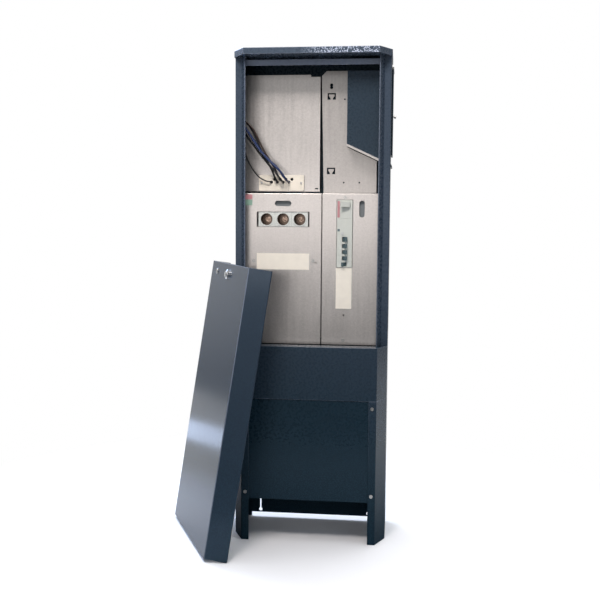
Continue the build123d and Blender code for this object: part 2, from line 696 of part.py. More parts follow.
def hook_window(top, y0, y1):
    """Cut around a tongue that widens from its neck to its head, for hanging a carrier on."""
    low = top - HOOK_HEIGHT
    neck = HOOK_NECK / 2
    head = HOOK_HEAD / 2
    shoulder = low + HOOK_NECK_HEIGHT
    right = [(neck, low - OVERRUN), (neck, shoulder), (head, shoulder + HOOK_FLARE), (head, top - HOOK_GAP)]
    outline = right + [(-x, z) for x, z in reversed(right)]
    tongue = panel([(HOOK_X + x, z) for x, z in outline], y0 - OVERRUN, y1 + OVERRUN)
    return box(HOOK_X - HOOK_WIDTH / 2, HOOK_X + HOOK_WIDTH / 2, y0, y1, low, top) - tongue


def right_plate():
    """Galvanised plate around the niche, with hook cut-outs, a double hole and flanges to the back."""
    gap = NICHE_GAP + SHEET
    edge = NICHE_LEFT - NICHE_GAP
    high = niche_floor(edge) - gap - SHEET
    low = niche_floor(RIGHT_PLATE_RIGHT) - gap - SHEET
    top_left = BOARD_RIGHT + RIGHT_PLATE_TOP_GAP
    low_left = BOARD_RIGHT + RIGHT_PLATE_LOW_GAP
    outline = [(low_left, RIGHT_PLATE_BOTTOM), (RIGHT_PLATE_RIGHT, RIGHT_PLATE_BOTTOM),
               (RIGHT_PLATE_RIGHT, low), (edge, high), (edge, RIGHT_PLATE_TOP),
               (top_left + RIGHT_PLATE_CORNER, RIGHT_PLATE_TOP),
               (top_left, RIGHT_PLATE_TOP - RIGHT_PLATE_CORNER)]
    rear = BOARD_Y + BOARD_SHEET
    plate = panel(outline, BOARD_Y, rear)
    plate += box(low_left, RIGHT_PLATE_RIGHT, BOARD_Y, BACK_Y,
                 RIGHT_PLATE_BOTTOM, RIGHT_PLATE_BOTTOM + BOARD_SHEET)
    plate += box(RIGHT_PLATE_RIGHT - BOARD_SHEET, RIGHT_PLATE_RIGHT, BOARD_Y, BACK_Y, RIGHT_PLATE_BOTTOM, low)
    plate += box(edge - BOARD_SHEET, edge, BOARD_Y, BACK_Y, high, RIGHT_PLATE_TOP)
    front = BOARD_Y - OVERRUN
    back = rear + OVERRUN
    for top in HOOK_TOPS:
        plate -= hook_window(top, front, back)
    for z in PEEP_ZS:
        plate -= rod_y(PEEP_X, front, back, z, PEEP_RADIUS)
    for x, z in PLATE_HOLES:
        plate -= rod_y(x, front, back, z, PLATE_HOLE_RADIUS)
    return plate


def niche_sheet(drop, y0, y1):
    """Sloping sheet along the niche's floor, from its upper face down by a drop, between two depths."""
    x0 = NICHE_LEFT
    x1 = INNER_HALF
    return panel([(x0, niche_floor(x0) - drop), (x1, niche_floor(x1) - drop),
                  (x1, niche_floor(x1)), (x0, niche_floor(x0))], y0, y1)


def niche_tray():
    """Galvanised floor of the niche, falling to the wall opening, with a lip in front that is turned down."""
    lip = NICHE_FRONT - NICHE_LIP
    return niche_sheet(SHEET, lip, BACK_Y) + niche_sheet(NICHE_EDGE, lip, lip + SHEET)


def niche_box():
    """Niche lining on the tray: front, inner end and top."""
    x0 = NICHE_LEFT
    x1 = INNER_HALF
    front = panel([(x0, niche_floor(x0)), (x1, niche_floor(x1)), (x1, NICHE_TOP), (x0, NICHE_TOP)],
                  NICHE_FRONT, NICHE_FRONT + SHEET)
    inside = x0 + SHEET
    end = panel([(x0, niche_floor(x0)), (inside, niche_floor(inside)), (inside, NICHE_TOP), (x0, NICHE_TOP)],
                NICHE_FRONT, BACK_Y)
    top = box(x0, x1, NICHE_FRONT, BACK_Y, NICHE_TOP - SHEET, NICHE_TOP)
    return front + end + top


def outlet_socket():
    """Earthed outlet on the niche's inner end, with a round recess and two pin holes."""
    x0 = NICHE_LEFT + SHEET
    x1 = x0 + OUTLET_DEPTH
    y = (NICHE_FRONT + SHEET + BACK_Y) / 2
    half = OUTLET_SIZE / 2
    body = box(x0, x1, y - half, y + half, OUTLET_Z - half, OUTLET_Z + half)
    body = fillet(body.edges().filter_by(Axis.X), OUTLET_CORNER)
    floor = x1 - OUTLET_RECESS_DEPTH
    body -= rod_x(floor, x1 + OVERRUN, y, OUTLET_Z, OUTLET_RECESS_RADIUS)
    for side in (-1, 1):
        pin_y = y + side * OUTLET_PIN_PITCH / 2
        body -= rod_x(floor - OUTLET_PIN_DEPTH, floor + OVERRUN, pin_y, OUTLET_Z, OUTLET_PIN_RADIUS)
    return body


def hinge_ends():
    """Front and back ends of the flap's own barrel."""
    return FLAP_FRONT + HINGE_END + HINGE_SIDE_GAP, FLAP_BACK - HINGE_END - HINGE_SIDE_GAP


def flap_hinge():
    """Fixed half of the flap's hinge: two barrels with leaves on the wall, and the pin."""
    hinge = rod_y(HINGE_X, FLAP_FRONT, FLAP_BACK, HINGE_Z, HINGE_PIN_RADIUS)
    for y0, y1 in ((FLAP_FRONT, FLAP_FRONT + HINGE_END), (FLAP_BACK - HINGE_END, FLAP_BACK)):
        hinge += rod_y(HINGE_X, y0, y1, HINGE_Z, HINGE_BARREL_RADIUS)
        hinge += box(HALF, HALF + HINGE_LEAF, y0, y1, HINGE_Z, HINGE_Z + HINGE_LEAF_HEIGHT)
    return hinge


def side_flap():
    """Flap with a shallow rim, and a barrel at its top edge."""
    flap = box(FLAP_X, FLAP_FACE + FLAP_SHEET, FLAP_FRONT, FLAP_BACK, FLAP_BOTTOM, FLAP_TOP)
    flap -= box(FLAP_X - OVERRUN, FLAP_FACE, FLAP_FRONT + FLAP_SHEET, FLAP_BACK - FLAP_SHEET,
                FLAP_BOTTOM + FLAP_SHEET, FLAP_TOP - FLAP_SHEET)
    y0, y1 = hinge_ends()
    barrel = rod_y(HINGE_X, y0, y1, HINGE_Z, HINGE_BARREL_RADIUS)
    barrel += box(HINGE_X, FLAP_FACE + FLAP_SHEET, y0, y1, FLAP_TOP - FLAP_SHEET, HINGE_Z)
    barrel -= rod_y(HINGE_X, y0 - OVERRUN, y1 + OVERRUN, HINGE_Z, HINGE_PIN_RADIUS + HINGE_RUNNING)
    return flap + barrel


def flap_knob():
    """Turned pull knob on the flap."""
    face = FLAP_FACE + FLAP_SHEET
    y = (FLAP_FRONT + FLAP_BACK) / 2
    stem = rod_x(face, face + KNOB_STEM, y, KNOB_Z, KNOB_STEM_RADIUS)
    return stem + rod_x(face + KNOB_STEM, face + KNOB_STEM + KNOB_LENGTH, y, KNOB_Z, KNOB_RADIUS)


def drip_lip():
    """Lip on the wall under the niche's opening that throws rain clear."""
    return panel([(HALF, DRIP_BOTTOM), (HALF + DRIP_REACH, DRIP_BOTTOM),
                  (HALF + DRIP_REACH, DRIP_BOTTOM + DRIP_EDGE), (HALF, DRIP_TOP)], FLAP_FRONT, FLAP_BACK)


def cover(x0, x1):
    """Cover with a top flange, and holes for the screws that fall inside it."""
    sheet = box(x0, x1, COVER_Y, COVER_BACK, COVER_BOTTOM, COVER_TOP)
    sheet += box(x0, x1, COVER_Y, COVER_Y + COVER_FLANGE, COVER_TOP - COVER_SHEET, COVER_TOP)
    fold = sheet.edges().filter_by(Axis.X).group_by(Axis.Z)[-1].sort_by(Axis.Y)[0]
    sheet = fillet(fold, COVER_FOLD)
    for x, z in COVER_SCREWS:
        if x0 < x < x1:
            sheet -= screw_hole(x, COVER_Y, COVER_BACK, z)
    for x, z in COVER_PEEPS:
        if x0 < x < x1:
            sheet -= rod_y(x, COVER_Y - OVERRUN, COVER_BACK + OVERRUN, z, COVER_PEEP_RADIUS)
    return sheet


def left_cover():
    """Cover over the fuses, with their window and a long slot above it."""
    sheet = cover(-INNER_HALF + COVER_SIDE_GAP, COVER_SPLIT - COVER_SPLIT_GAP / 2)
    half = FUSE_COUNT * FUSE_PITCH / 2 + FUSE_WINDOW_MARGIN
    sheet -= box(FUSE_X - half, FUSE_X + half, COVER_Y - OVERRUN, COVER_BACK + OVERRUN,
                 FUSE_Z - FUSE_WINDOW_HEIGHT / 2, FUSE_Z + FUSE_WINDOW_HEIGHT / 2)
    return sheet - long_hole(LEFT_SLOT_X, LEFT_SLOT_Z, COVER_SLOT_LENGTH, COVER_SLOT_WIDTH,
                             COVER_Y - OVERRUN, COVER_BACK + OVERRUN)


def right_cover():
    """Cover over the device row, with its window and an upright slot beside it."""
    sheet = cover(COVER_SPLIT + COVER_SPLIT_GAP / 2, INNER_HALF - COVER_SIDE_GAP)
    half = NOSE_WIDTH / 2 + ROW_WINDOW_GAP
    sheet -= box(ROW_X - half, ROW_X + half,
                 COVER_Y - OVERRUN, COVER_BACK + OVERRUN,
                 ROW_BOTTOM - ROW_WINDOW_GAP, ROW_TOP + ROW_WINDOW_GAP)
    return sheet - long_hole(RIGHT_SLOT_X, RIGHT_SLOT_Z, COVER_SLOT_LENGTH, COVER_SLOT_WIDTH,
                             COVER_Y - OVERRUN, COVER_BACK + OVERRUN, upright=True)


def cover_screws():
    """Screws of both covers."""
    return [screw(x, COVER_Y, z) for x, z in COVER_SCREWS]


def cover_spacers():
    """Tapped spacers between the equipment plate and the covers."""
    spacers = []
    for x, z in COVER_SCREWS:
        spacer = rod_y(x, COVER_BACK, EQUIP_Y, z, SPACER_RADIUS)
        spacers.append(spacer - rod_y(x, COVER_BACK - OVERRUN, COVER_Y + SCREW_LENGTH + OVERRUN, z,
                                      SCREW_RADIUS + SCREW_CLEARANCE))
    return spacers


def label(x, z, width, height):
    """Blank label plate on a cover."""
    return box(x - width / 2, x + width / 2, COVER_Y - LABEL_THICK, COVER_Y, z - height / 2, z + height / 2)


def fuse_places():
    """Middle of each fuse base across the cabinet."""
    return [FUSE_X + (i - (FUSE_COUNT - 1) / 2) * FUSE_PITCH for i in range(FUSE_COUNT)]


def fuse_base(x):
    """Ceramic base: a nose for the cover's window, with a collar around its stepped socket."""
    half = FUSE_PITCH / 2 - FUSE_GAP / 2
    nose = FUSE_WINDOW_HEIGHT / 2 - FUSE_NOSE_GAP
    shoulder = FUSE_Y + FUSE_NOSE_DEPTH
    body = box(x - half, x + half, shoulder, EQUIP_Y, FUSE_Z - FUSE_HEIGHT / 2, FUSE_Z + FUSE_HEIGHT / 2)
    body += box(x - half, x + half, FUSE_Y, shoulder, FUSE_Z - nose, FUSE_Z + nose)
    body += rod_y(x, FUSE_Y - FUSE_COLLAR, FUSE_Y, FUSE_Z, FUSE_COLLAR_RADIUS)
    seat = FUSE_Y + SHELL_INSET + SHELL_LENGTH
    body -= rod_y(x, FUSE_Y - FUSE_COLLAR - OVERRUN, seat, FUSE_Z, SHELL_RADIUS + SHELL_WALL)
    return body - rod_y(x, seat - OVERRUN, seat + CONTACT_HEIGHT, FUSE_Z, CONTACT_RADIUS)


def fuse_shells():
    """Thin screw shells lining the sockets, each with a floor around the contact."""
    y0 = FUSE_Y + SHELL_INSET
    y1 = y0 + SHELL_LENGTH
    shells = []
    for x in fuse_places():
        tube = rod_y(x, y0, y1, FUSE_Z, SHELL_RADIUS + SHELL_WALL)
        tube -= rod_y(x, y0 - OVERRUN, y1 - SHELL_WALL, FUSE_Z, SHELL_RADIUS)
        shells.append(tube - rod_y(x, y0, y1 + OVERRUN, FUSE_Z, CONTACT_RADIUS))
    return shells


def fuse_contacts():
    """Centre contacts let into the floors of the sockets."""
    floor = FUSE_Y + SHELL_INSET + SHELL_LENGTH
    return [rod_y(x, floor, floor + CONTACT_HEIGHT, FUSE_Z, CONTACT_RADIUS) for x in fuse_places()]


def equipment_plate():
    """Galvanised plate with side flanges that stand on the back."""
    x = INNER_HALF - EQUIP_SIDE_GAP
    plate = box(-x, x, EQUIP_Y, BACK_Y, EQUIP_BOTTOM, EQUIP_TOP)
    return plate - box(-x + BOARD_SHEET, x - BOARD_SHEET, EQUIP_Y + BOARD_SHEET, BACK_Y + OVERRUN,
                       EQUIP_BOTTOM - OVERRUN, EQUIP_TOP + OVERRUN)


def din_rail():
    """Top-hat rail, upright, behind the device row."""
    brim = HAT_WIDTH / 2
    web = HAT_WEB / 2
    inner = web - HAT_SHEET
    right = [(brim, HAT_Y), (brim, HAT_Y + HAT_SHEET), (web, HAT_Y + HAT_SHEET), (web, EQUIP_Y)]
    inside = [(inner, EQUIP_Y - HAT_SHEET), (inner, HAT_Y)]
    outline = right + [(-x, y) for x, y in reversed(right)]
    outline += [(-x, y) for x, y in reversed(inside)] + inside
    return prism([(ROW_X + x, y) for x, y in outline], ROW_BOTTOM - HAT_END, ROW_TOP + HAT_END)


def device(top, modules):
    """Housing of a rail-mounted device: a nose for the window, a wider body and feet around the rail."""
    z0 = top - modules * MODULE + MODULE_GAP / 2
    z1 = top - MODULE_GAP / 2
    nose = NOSE_WIDTH / 2
    end = DEVICE_LENGTH / 2
    shoulder = NOSE_Y + NOSE_DEPTH
    foot = HAT_WIDTH / 2 + HAT_PLAY
    right = [(nose - NOSE_CHAMFER, NOSE_Y), (nose, NOSE_Y + NOSE_CHAMFER), (nose, shoulder), (end, shoulder),
             (end, HAT_Y + FOOT_DEPTH), (foot, HAT_Y + FOOT_DEPTH), (foot, HAT_Y)]
    outline = right + [(-x, y) for x, y in reversed(right)]
    return prism([(ROW_X + x, y) for x, y in outline], z0, z1)


def toggle_slot(x, z, width):
    """Cut for a toggle, with bearings for its two trunnions."""
    slot = box(x - TOGGLE_SLOT_HALF, x + TOGGLE_SLOT_HALF, NOSE_Y - OVERRUN,
               PIVOT_Y + TOGGLE_HUB + TOGGLE_SLOT_FLOOR, z - width / 2, z + width / 2)
    reach = width / 2 - TOGGLE_SIDE_GAP + TRUNNION_LENGTH + TRUNNION_END_GAP
    return slot + rod_z(x, PIVOT_Y, z - reach, z + reach, TRUNNION_RADIUS + TRUNNION_RUNNING)


def toggle(x, z, width, tilt):
    """Toggle on a round hub with trunnions, tilted to the right or left."""
    half = width / 2 - TOGGLE_SIDE_GAP
    root = TOGGLE_ROOT / 2
    tip = TOGGLE_TIP / 2
    lever = prism([(-root, 0), (-tip, -TOGGLE_REACH), (tip, -TOGGLE_REACH), (root, 0)], -half, half)
    lever = fillet(lever.edges().filter_by(Axis.Z).group_by(Axis.Y)[0], TOGGLE_TIP_RADIUS)
    hub = rod_z(0, 0, -half, half, TOGGLE_HUB)
    trunnions = rod_z(0, 0, -half - TRUNNION_LENGTH, half + TRUNNION_LENGTH, TRUNNION_RADIUS)
    return Pos(x, PIVOT_Y, z) * Rot(0, 0, tilt) * (lever + hub + trunnions)


def main_toggle():
    """Main switch's toggle, with a flat handle across its tip."""
    x, z, width = main_toggle_place()
    half = width / 2 - TOGGLE_SIDE_GAP
    back = MAIN_HANDLE_ROOT - TOGGLE_REACH
    handle = box(-MAIN_HANDLE_WIDTH / 2, MAIN_HANDLE_WIDTH / 2, back - MAIN_HANDLE_THICK, back, -half, half)
    handle = fillet(handle.edges().filter_by(Axis.Z), MAIN_HANDLE_CORNER)
    return toggle(x, z, width, TOGGLE_TILT) + Pos(x, PIVOT_Y, z) * Rot(0, 0, TOGGLE_TILT) * handle


def main_toggle_place():
    """Place and slot width of the main switch's toggle."""
    return ROW_X + MAIN_TOGGLE_SHIFT, ROW_TOP - MAIN_TOGGLE_DROP, MAIN_TOGGLE_WIDTH


def rcd_toggle_place():
    """Place and slot width of the residual-current device's toggle."""
    return ROW_X, BREAKER_TOP + RCD_TOGGLE_RISE, RCD_TOGGLE_WIDTH


def breaker_toggle_place(i):
    """Place and slot width of a breaker's toggle."""
    share = 1 / 2
    return ROW_X, BREAKER_TOP - (i + share) * BREAKER_MODULES * MODULE, BREAKER_TOGGLE_WIDTH


def main_switch():
    """Three-module main switch."""
    return device(ROW_TOP, MAIN_MODULES) - toggle_slot(*main_toggle_place())


def rcd():
    """Four-module residual-current device with a test button's bore and a flag window."""
    body = device(RCD_TOP, RCD_MODULES) - toggle_slot(*rcd_toggle_place())
    floor = NOSE_Y - TEST_PROUD + TEST_LENGTH + TEST_TRAVEL_ROOM
    bore = TEST_RADIUS + TEST_RUNNING
    body -= rod_y(ROW_X + TEST_SHIFT, NOSE_Y - OVERRUN, floor, BREAKER_TOP + TEST_RISE, bore)
    return body - flag_block(FLAG_SIZE, NOSE_Y - OVERRUN)


def flag_block(size, front):
    """Square block in the residual-current device's flag window, from a depth back to the window's floor."""
    x = ROW_X + FLAG_SHIFT
    z = BREAKER_TOP + FLAG_RISE
    return box(x - size / 2, x + size / 2, front, NOSE_Y + FLAG_DEPTH, z - size / 2, z + size / 2)


def rcd_flag():
    """Dark flag on the floor of its window."""
    return flag_block(FLAG_SIZE - 2 * FLAG_CLEARANCE, NOSE_Y + FLAG_SETBACK)


def test_button():
    """Round test button, proud of the nose by its travel."""
    y0 = NOSE_Y - TEST_PROUD
    return rod_y(ROW_X + TEST_SHIFT, y0, y0 + TEST_LENGTH, BREAKER_TOP + TEST_RISE, TEST_RADIUS)


def breakers():
    """Single-module breakers below the residual-current device."""
    housings = []
    for i in range(BREAKERS):
        body = device(BREAKER_TOP - i * BREAKER_MODULES * MODULE, BREAKER_MODULES)
        housings.append(body - toggle_slot(*breaker_toggle_place(i)))
    return housings


def screw_block(x, z, width, height, rise=0):
    """Terminal block with a row of screw wells along its longer side, at a rise above its middle."""
    block = box(x - width / 2, x + width / 2, BLOCK_Y, EQUIP_Y, z - height / 2, z + height / 2)
    count = int(max(width, height) / BLOCK_PITCH)
    for i in range(count):
        shift = (i - (count - 1) / 2) * BLOCK_PITCH
        dx, dz = (shift, 0) if width > height else (0, shift)
        block -= rod_y(x + dx, BLOCK_Y - OVERRUN, BLOCK_Y + BLOCK_SCREW_DEPTH,
                       z + dz + rise, BLOCK_SCREW_RADIUS)
    return block


def neutral_block():
    """Neutral block above the fuses, its screws above the cover's slot."""
    return screw_block(NEUTRAL_X, NEUTRAL_Z, NEUTRAL_LENGTH, NEUTRAL_HEIGHT, NEUTRAL_SCREW_RISE)


def earth_block():
    """Earth block beside the device row, with a plate on its front that fills the cover's slot."""
    side = EARTH_X - EARTH_WIDTH / 2
    face = box(side + EARTH_WIDTH - EARTH_FACE_WIDTH, side, BLOCK_Y, BLOCK_Y + EARTH_FACE_DEPTH,
               EARTH_Z - EARTH_LENGTH / 2, EARTH_Z + EARTH_LENGTH / 2)
    return screw_block(EARTH_X, EARTH_Z, EARTH_WIDTH, EARTH_LENGTH) + face


def terminal_places():
    """Middle of each incoming terminal across the cabinet."""
    return [TERMINAL_X + (i - (TERMINAL_COUNT - 1) / 2) * TERMINAL_PITCH for i in range(TERMINAL_COUNT)]


def main_terminals():
    """Insulating base of the incoming terminals, with a wire channel for each."""
    half = TERMINAL_COUNT * TERMINAL_PITCH / 2
    front = EQUIP_Y - TERMINAL_DEPTH
    z0 = TERMINAL_Z - TERMINAL_HEIGHT / 2
    z1 = TERMINAL_Z + TERMINAL_HEIGHT / 2
    base = box(TERMINAL_X - half, TERMINAL_X + half, front, EQUIP_Y, z0, z1)
    for x in terminal_places():
        base -= box(x - TERMINAL_SLOT / 2, x + TERMINAL_SLOT / 2, front - OVERRUN, front + TERMINAL_SLOT_DEPTH,
                    z0 - OVERRUN, z1 + OVERRUN)
    return base


def terminal_bolts():
    """Clamping bolts on the floors of the terminals' channels."""
    floor = EQUIP_Y - TERMINAL_DEPTH + TERMINAL_SLOT_DEPTH
    return [rod_y(x, floor - BOLT_LENGTH, floor, TERMINAL_Z, BOLT_RADIUS) for x in terminal_places()]


def door_plane():
    """Plane of the leaning door: its lower back edge on the ground, its top flange against the left post."""
    turn = radians(DOOR_TURN)
    lean = radians(DOOR_LEAN)
    back = (-sin(turn), cos(turn))
    post = (FOLD_RADIUS - HALF) * back[0] + (CORNER_DEPTH + FOLD_RADIUS) * back[1] - FOLD_RADIUS
    stand = post - DOOR_TOP_FLANGE * cos(lean) - DOOR_HEIGHT * sin(lean) - DOOR_TOUCH
    x = DOOR_SLIDE * cos(turn) + stand * back[0]
    y = DOOR_SLIDE * sin(turn) + stand * back[1]
    up = (back[0] * sin(lean), back[1] * sin(lean), cos(lean))
    return Plane(origin=(x, y, CORNER_DEPTH * sin(lean)), x_dir=(cos(turn), sin(turn), 0), z_dir=up)


def door_shell():
    """Folded door: front, slanted sides with returns, and short flanges at the top and bottom."""
    line = [(HALF - DOOR_RETURN, CORNER_DEPTH), (HALF, CORNER_DEPTH), (FRONT_HALF, 0)]
    shell = folded(line + [(-x, y) for x, y in reversed(line)], 0, DOOR_HEIGHT)
    shell += shelf(DOOR_TOP_FLANGE, 0, SHEET)
    shell += shelf(DOOR_TOP_FLANGE, DOOR_HEIGHT - SHEET, DOOR_HEIGHT)
    edge = shell.edges().group_by(Axis.Z)[-1].sort_by(Axis.Y)[0]
    shell = fillet(edge, DOOR_EDGE_RADIUS)
    shell -= cam_slot(CAM_Y, DOOR_HEIGHT - SHEET, DOOR_HEIGHT)
    hole = LOCK_BODY_RADIUS + LOCK_HOLE_CLEARANCE
    shell -= rod_y(0, -OVERRUN, SHEET + OVERRUN, LOCK_Z, hole)
    return shell - rod_y(PLUG_SHIFT, -OVERRUN, SHEET + OVERRUN, DOOR_HEIGHT - PLUG_DROP, PLUG_STEM_RADIUS)


def lock_housing():
    """Lock housing: a ring outside, a body through the door and a bore for the core."""
    ring = rod_y(0, -LOCK_RING_HEIGHT, 0, LOCK_Z, LOCK_RING_RADIUS)
    ring = chamfer(ring.edges().group_by(Axis.Y)[0], LOCK_RING_CHAMFER)
    body = rod_y(0, 0, LOCK_BODY_LENGTH, LOCK_Z, LOCK_BODY_RADIUS)
    bore = rod_y(0, -LOCK_RING_HEIGHT - OVERRUN, LOCK_BODY_LENGTH + OVERRUN, LOCK_Z,
                 LOCK_CORE_RADIUS + LOCK_RUNNING)
    return ring + body - bore


def lock_nut():
    """Nut that clamps the housing to the door's inner face."""
    nut = Pos(0, SHEET + LOCK_NUT_HEIGHT, LOCK_Z) * Rot(QUARTER, 0, 0) * extrude(
        RegularPolygon(LOCK_NUT_RADIUS, LOCK_NUT_SIDES), LOCK_NUT_HEIGHT)
    return nut - rod_y(0, SHEET - OVERRUN, SHEET + LOCK_NUT_HEIGHT + OVERRUN, LOCK_Z, LOCK_BODY_RADIUS)


def lock_core():
    """Turning core with a keyway, and the cam behind it that swings up past the door's top."""
    front = -LOCK_RING_HEIGHT - LOCK_CORE_PROUD
    core = rod_y(0, front, CAM_Y, LOCK_Z, LOCK_CORE_RADIUS)
    core -= box(-LOCK_KEYWAY / 2, LOCK_KEYWAY / 2, front - OVERRUN, front + LOCK_KEYWAY_DEPTH,
                LOCK_Z - LOCK_KEYWAY_LENGTH / 2, LOCK_Z + LOCK_KEYWAY_LENGTH / 2)
    cam = rod_y(0, CAM_Y, CAM_Y + CAM_THICK, LOCK_Z, LOCK_CORE_RADIUS)
    cam += box(0, CAM_LENGTH, CAM_Y, CAM_Y + CAM_THICK, LOCK_Z - CAM_WIDTH / 2, LOCK_Z + CAM_WIDTH / 2)
    return core + cam


def blank_plug():
    """Domed plug in the door's second lock hole."""
    z = DOOR_HEIGHT - PLUG_DROP
    head = rod_y(PLUG_SHIFT, -PLUG_HEIGHT, 0, z, PLUG_RADIUS)
    head = fillet(head.edges().group_by(Axis.Y)[0], PLUG_HEIGHT / 2)
    return head + rod_y(PLUG_SHIFT, 0, PLUG_STEM, z, PLUG_STEM_RADIUS)


def save(name, shape):
    """Write one node, from one solid or a list of them."""
    solids = shape if isinstance(shape, list) else [shape]
    export_step(Compound(children=[s for solid in solids for s in solid.solids()]), "parts/" + name + ".step")


def main():
    """Build every node."""
    save("left_side", left_side())
    save("right_side", right_side())
    save("back_panel", back_panel())
    save("lower_back_plate", lower_back_plate())
    save("roof_cap", roof_cap())
    save("top_rail", top_rail())
    save("front_band", front_band())
    save("base_cover", base_cover())
    save("base_cover_screws", base_cover_screws())
    save("meter_board", meter_board())
    save("cable_plate", cable_plate())
    save("cable_plate_screws", cable_plate_screws())
    save("cable_bushes", cable_bushes())
    for name, hole, radius, bends in wire_list():
        save(name, wire(hole, radius, bends))
    save("right_plate", right_plate())
    save("niche_box", niche_box())
    save("niche_tray", niche_tray())
    save("outlet_socket", outlet_socket())
    save("flap_hinge", flap_hinge())
    save("side_flap", side_flap())
    save("flap_knob", flap_knob())
    save("drip_lip", drip_lip())
    save("left_cover", left_cover())
    save("right_cover", right_cover())
    save("cover_screws", cover_screws())
    save("cover_spacers", cover_spacers())
    save("left_label", label(LEFT_LABEL_X, LEFT_LABEL_Z, LEFT_LABEL_WIDTH, LEFT_LABEL_HEIGHT))
    save("right_label", label(RIGHT_LABEL_X, RIGHT_LABEL_Z, RIGHT_LABEL_WIDTH, RIGHT_LABEL_HEIGHT))
    for i, x in enumerate(fuse_places()):
        save("fuse_base_%d" % (i + 1), fuse_base(x))
    save("fuse_shells", fuse_shells())
    save("fuse_contacts", fuse_contacts())
    save("equipment_plate", equipment_plate())
    save("din_rail", din_rail())
    save("main_switch", main_switch())
    save("main_toggle", main_toggle())
    save("rcd", rcd())
    save("rcd_flag", rcd_flag())
    save("rcd_toggle", toggle(*rcd_toggle_place(), TOGGLE_TILT))
    save("test_button", test_button())
    save("breakers", breakers())
    for i in range(BREAKERS):
        tilt = -TOGGLE_TILT if i == BREAKERS - 1 else TOGGLE_TILT
        save("breaker_toggle_%d" % (i + 1), toggle(*breaker_toggle_place(i), tilt))
    save("neutral_block", neutral_block())
    save("earth_block", earth_block())
    save("main_terminals", main_terminals())
    save("terminal_bolts", terminal_bolts())
    place = door_plane().location
    save("door_shell", place * door_shell())
    save("lock_housing", place * lock_housing())
    save("lock_nut", place * lock_nut())
    save("lock_core", place * lock_core())
    save("blank_plug", place * blank_plug())


if __name__ == "__main__":
    main()
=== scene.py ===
"""Electricity meter cabinet: finishes, loose wires, plain stickers, light and camera."""
import json
import math

import bmesh
import bpy
from mathutils import Matrix, Vector


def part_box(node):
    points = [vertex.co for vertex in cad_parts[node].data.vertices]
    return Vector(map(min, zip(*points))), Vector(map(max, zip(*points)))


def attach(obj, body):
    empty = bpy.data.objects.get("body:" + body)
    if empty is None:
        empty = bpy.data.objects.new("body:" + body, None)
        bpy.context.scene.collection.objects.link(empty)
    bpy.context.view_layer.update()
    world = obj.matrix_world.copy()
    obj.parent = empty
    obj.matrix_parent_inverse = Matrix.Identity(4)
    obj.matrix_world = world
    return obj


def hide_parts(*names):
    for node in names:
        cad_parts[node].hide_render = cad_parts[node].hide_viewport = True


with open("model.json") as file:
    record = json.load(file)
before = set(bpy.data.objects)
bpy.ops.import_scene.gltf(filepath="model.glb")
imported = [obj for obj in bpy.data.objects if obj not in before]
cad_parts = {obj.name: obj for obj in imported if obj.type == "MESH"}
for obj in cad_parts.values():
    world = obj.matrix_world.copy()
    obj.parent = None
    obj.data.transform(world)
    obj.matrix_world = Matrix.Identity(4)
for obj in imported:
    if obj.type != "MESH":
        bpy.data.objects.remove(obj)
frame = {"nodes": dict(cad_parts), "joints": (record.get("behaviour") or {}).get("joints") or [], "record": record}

bl_info = {
    "name": "Electricity meter cabinet",
    "version": (1, 0, 0),
    "blender": (4, 5, 0),
    "location": "View3D > Sidebar > Meter cabinet",
    "description": "Dresses the packed meter cabinet with finishes, wires, stickers and a stage",
    "category": "Object",
}

# Lengths are in metres and angles in radians

# Camera fitted to the photograph, with its lens and sensor in millimetres
CAMERA_PLACE = (0.250153, -2.463472, 0.940798)
CAMERA_YAW = 0.111383
CAMERA_PITCH = -0.095912
CAMERA_ROLL = -0.006530
CAMERA_LENS = 53.0488
CAMERA_SENSOR = 36.0

# Round floor: its radius, how far back its middle lies, how far below the object it is, its sides
FLOOR_RADIUS = 2.75
FLOOR_MIDDLE = 2.0
FLOOR_DROP = 0.0005
FLOOR_SIDES = 48

# The floor turns into the white background between these distances from this place
WHITE_MIDDLE = (-0.1, 0.0, 0.0)
WHITE_START = 0.6
WHITE_END = 1.3

# Lights: place, the point they face, width, height, power in watts and colour
LIGHTS = {
    # Main light, from above in front
    "key_light": ((-0.2, -1.05, 2.1), (0.0, 0.1, 1.0), 0.4, 0.35, 17.0, "#fff7f3"),
    # Brightens the roof's front
    "roof_light": ((0.35, -0.9, 2.3), (0.1, 0.0, 1.39), 0.15, 0.15, 5.0, "#fff8f4"),
    # The covers mirror it as a soft band
    "window_light": ((-0.25, -2.0, 0.98), (-0.2, 0.0, 0.98), 1.2, 0.25, 4.0, "#fff8f5"),
    # Makes the floor pale all over
    "ceiling_light": ((0.0, 1.6, 4.2), (0.0, 1.6, 0.0), 5.0, 5.0, 205.0, "#ffffff"),
    # Cool light on the floor that the door mirrors
    "sky_light": ((-2.2, 1.7, 2.4), (-1.9, 1.5, 0.0), 1.6, 1.4, 80.0, "#b8d0ff"),
    # Bright patch low on the door
    "low_light": ((-1.11, 0.87, 0.115), (-0.29, -0.02, 0.316), 0.42, 0.08, 0.3, "#c9dcff"),
}

# How far up a ray points where the room grows bright, and where what metal mirrors of it dims again
ROOM_DARK = -0.15
ROOM_BRIGHT = 0.05
DIM_START = 0.02
DIM_END = 0.3

# Heights between which the paint turns greyer upward: weather bleaching and painted light above
LIT_BLEACH_LOW = 0.2
LIT_BLEACH_HIGH = 0.75

# The way the door's front faces, which is the axis of its lock, and how far a bend faces that way
# where its painted highlight starts and is full, first beside the front and then beside the slanted side
DOOR_FRONT = next(joint["axis"] for joint in frame["joints"] if joint["name"] == "lock_turn")
HIGHLIGHT_BEND_FRONT = (0.99, 0.96)
HIGHLIGHT_BEND_SIDE = (0.443, 0.473)

# Places across the roof between which the pale flecks that are painted glints come up
GLINT_LEFT = -0.03
GLINT_RIGHT = 0.05

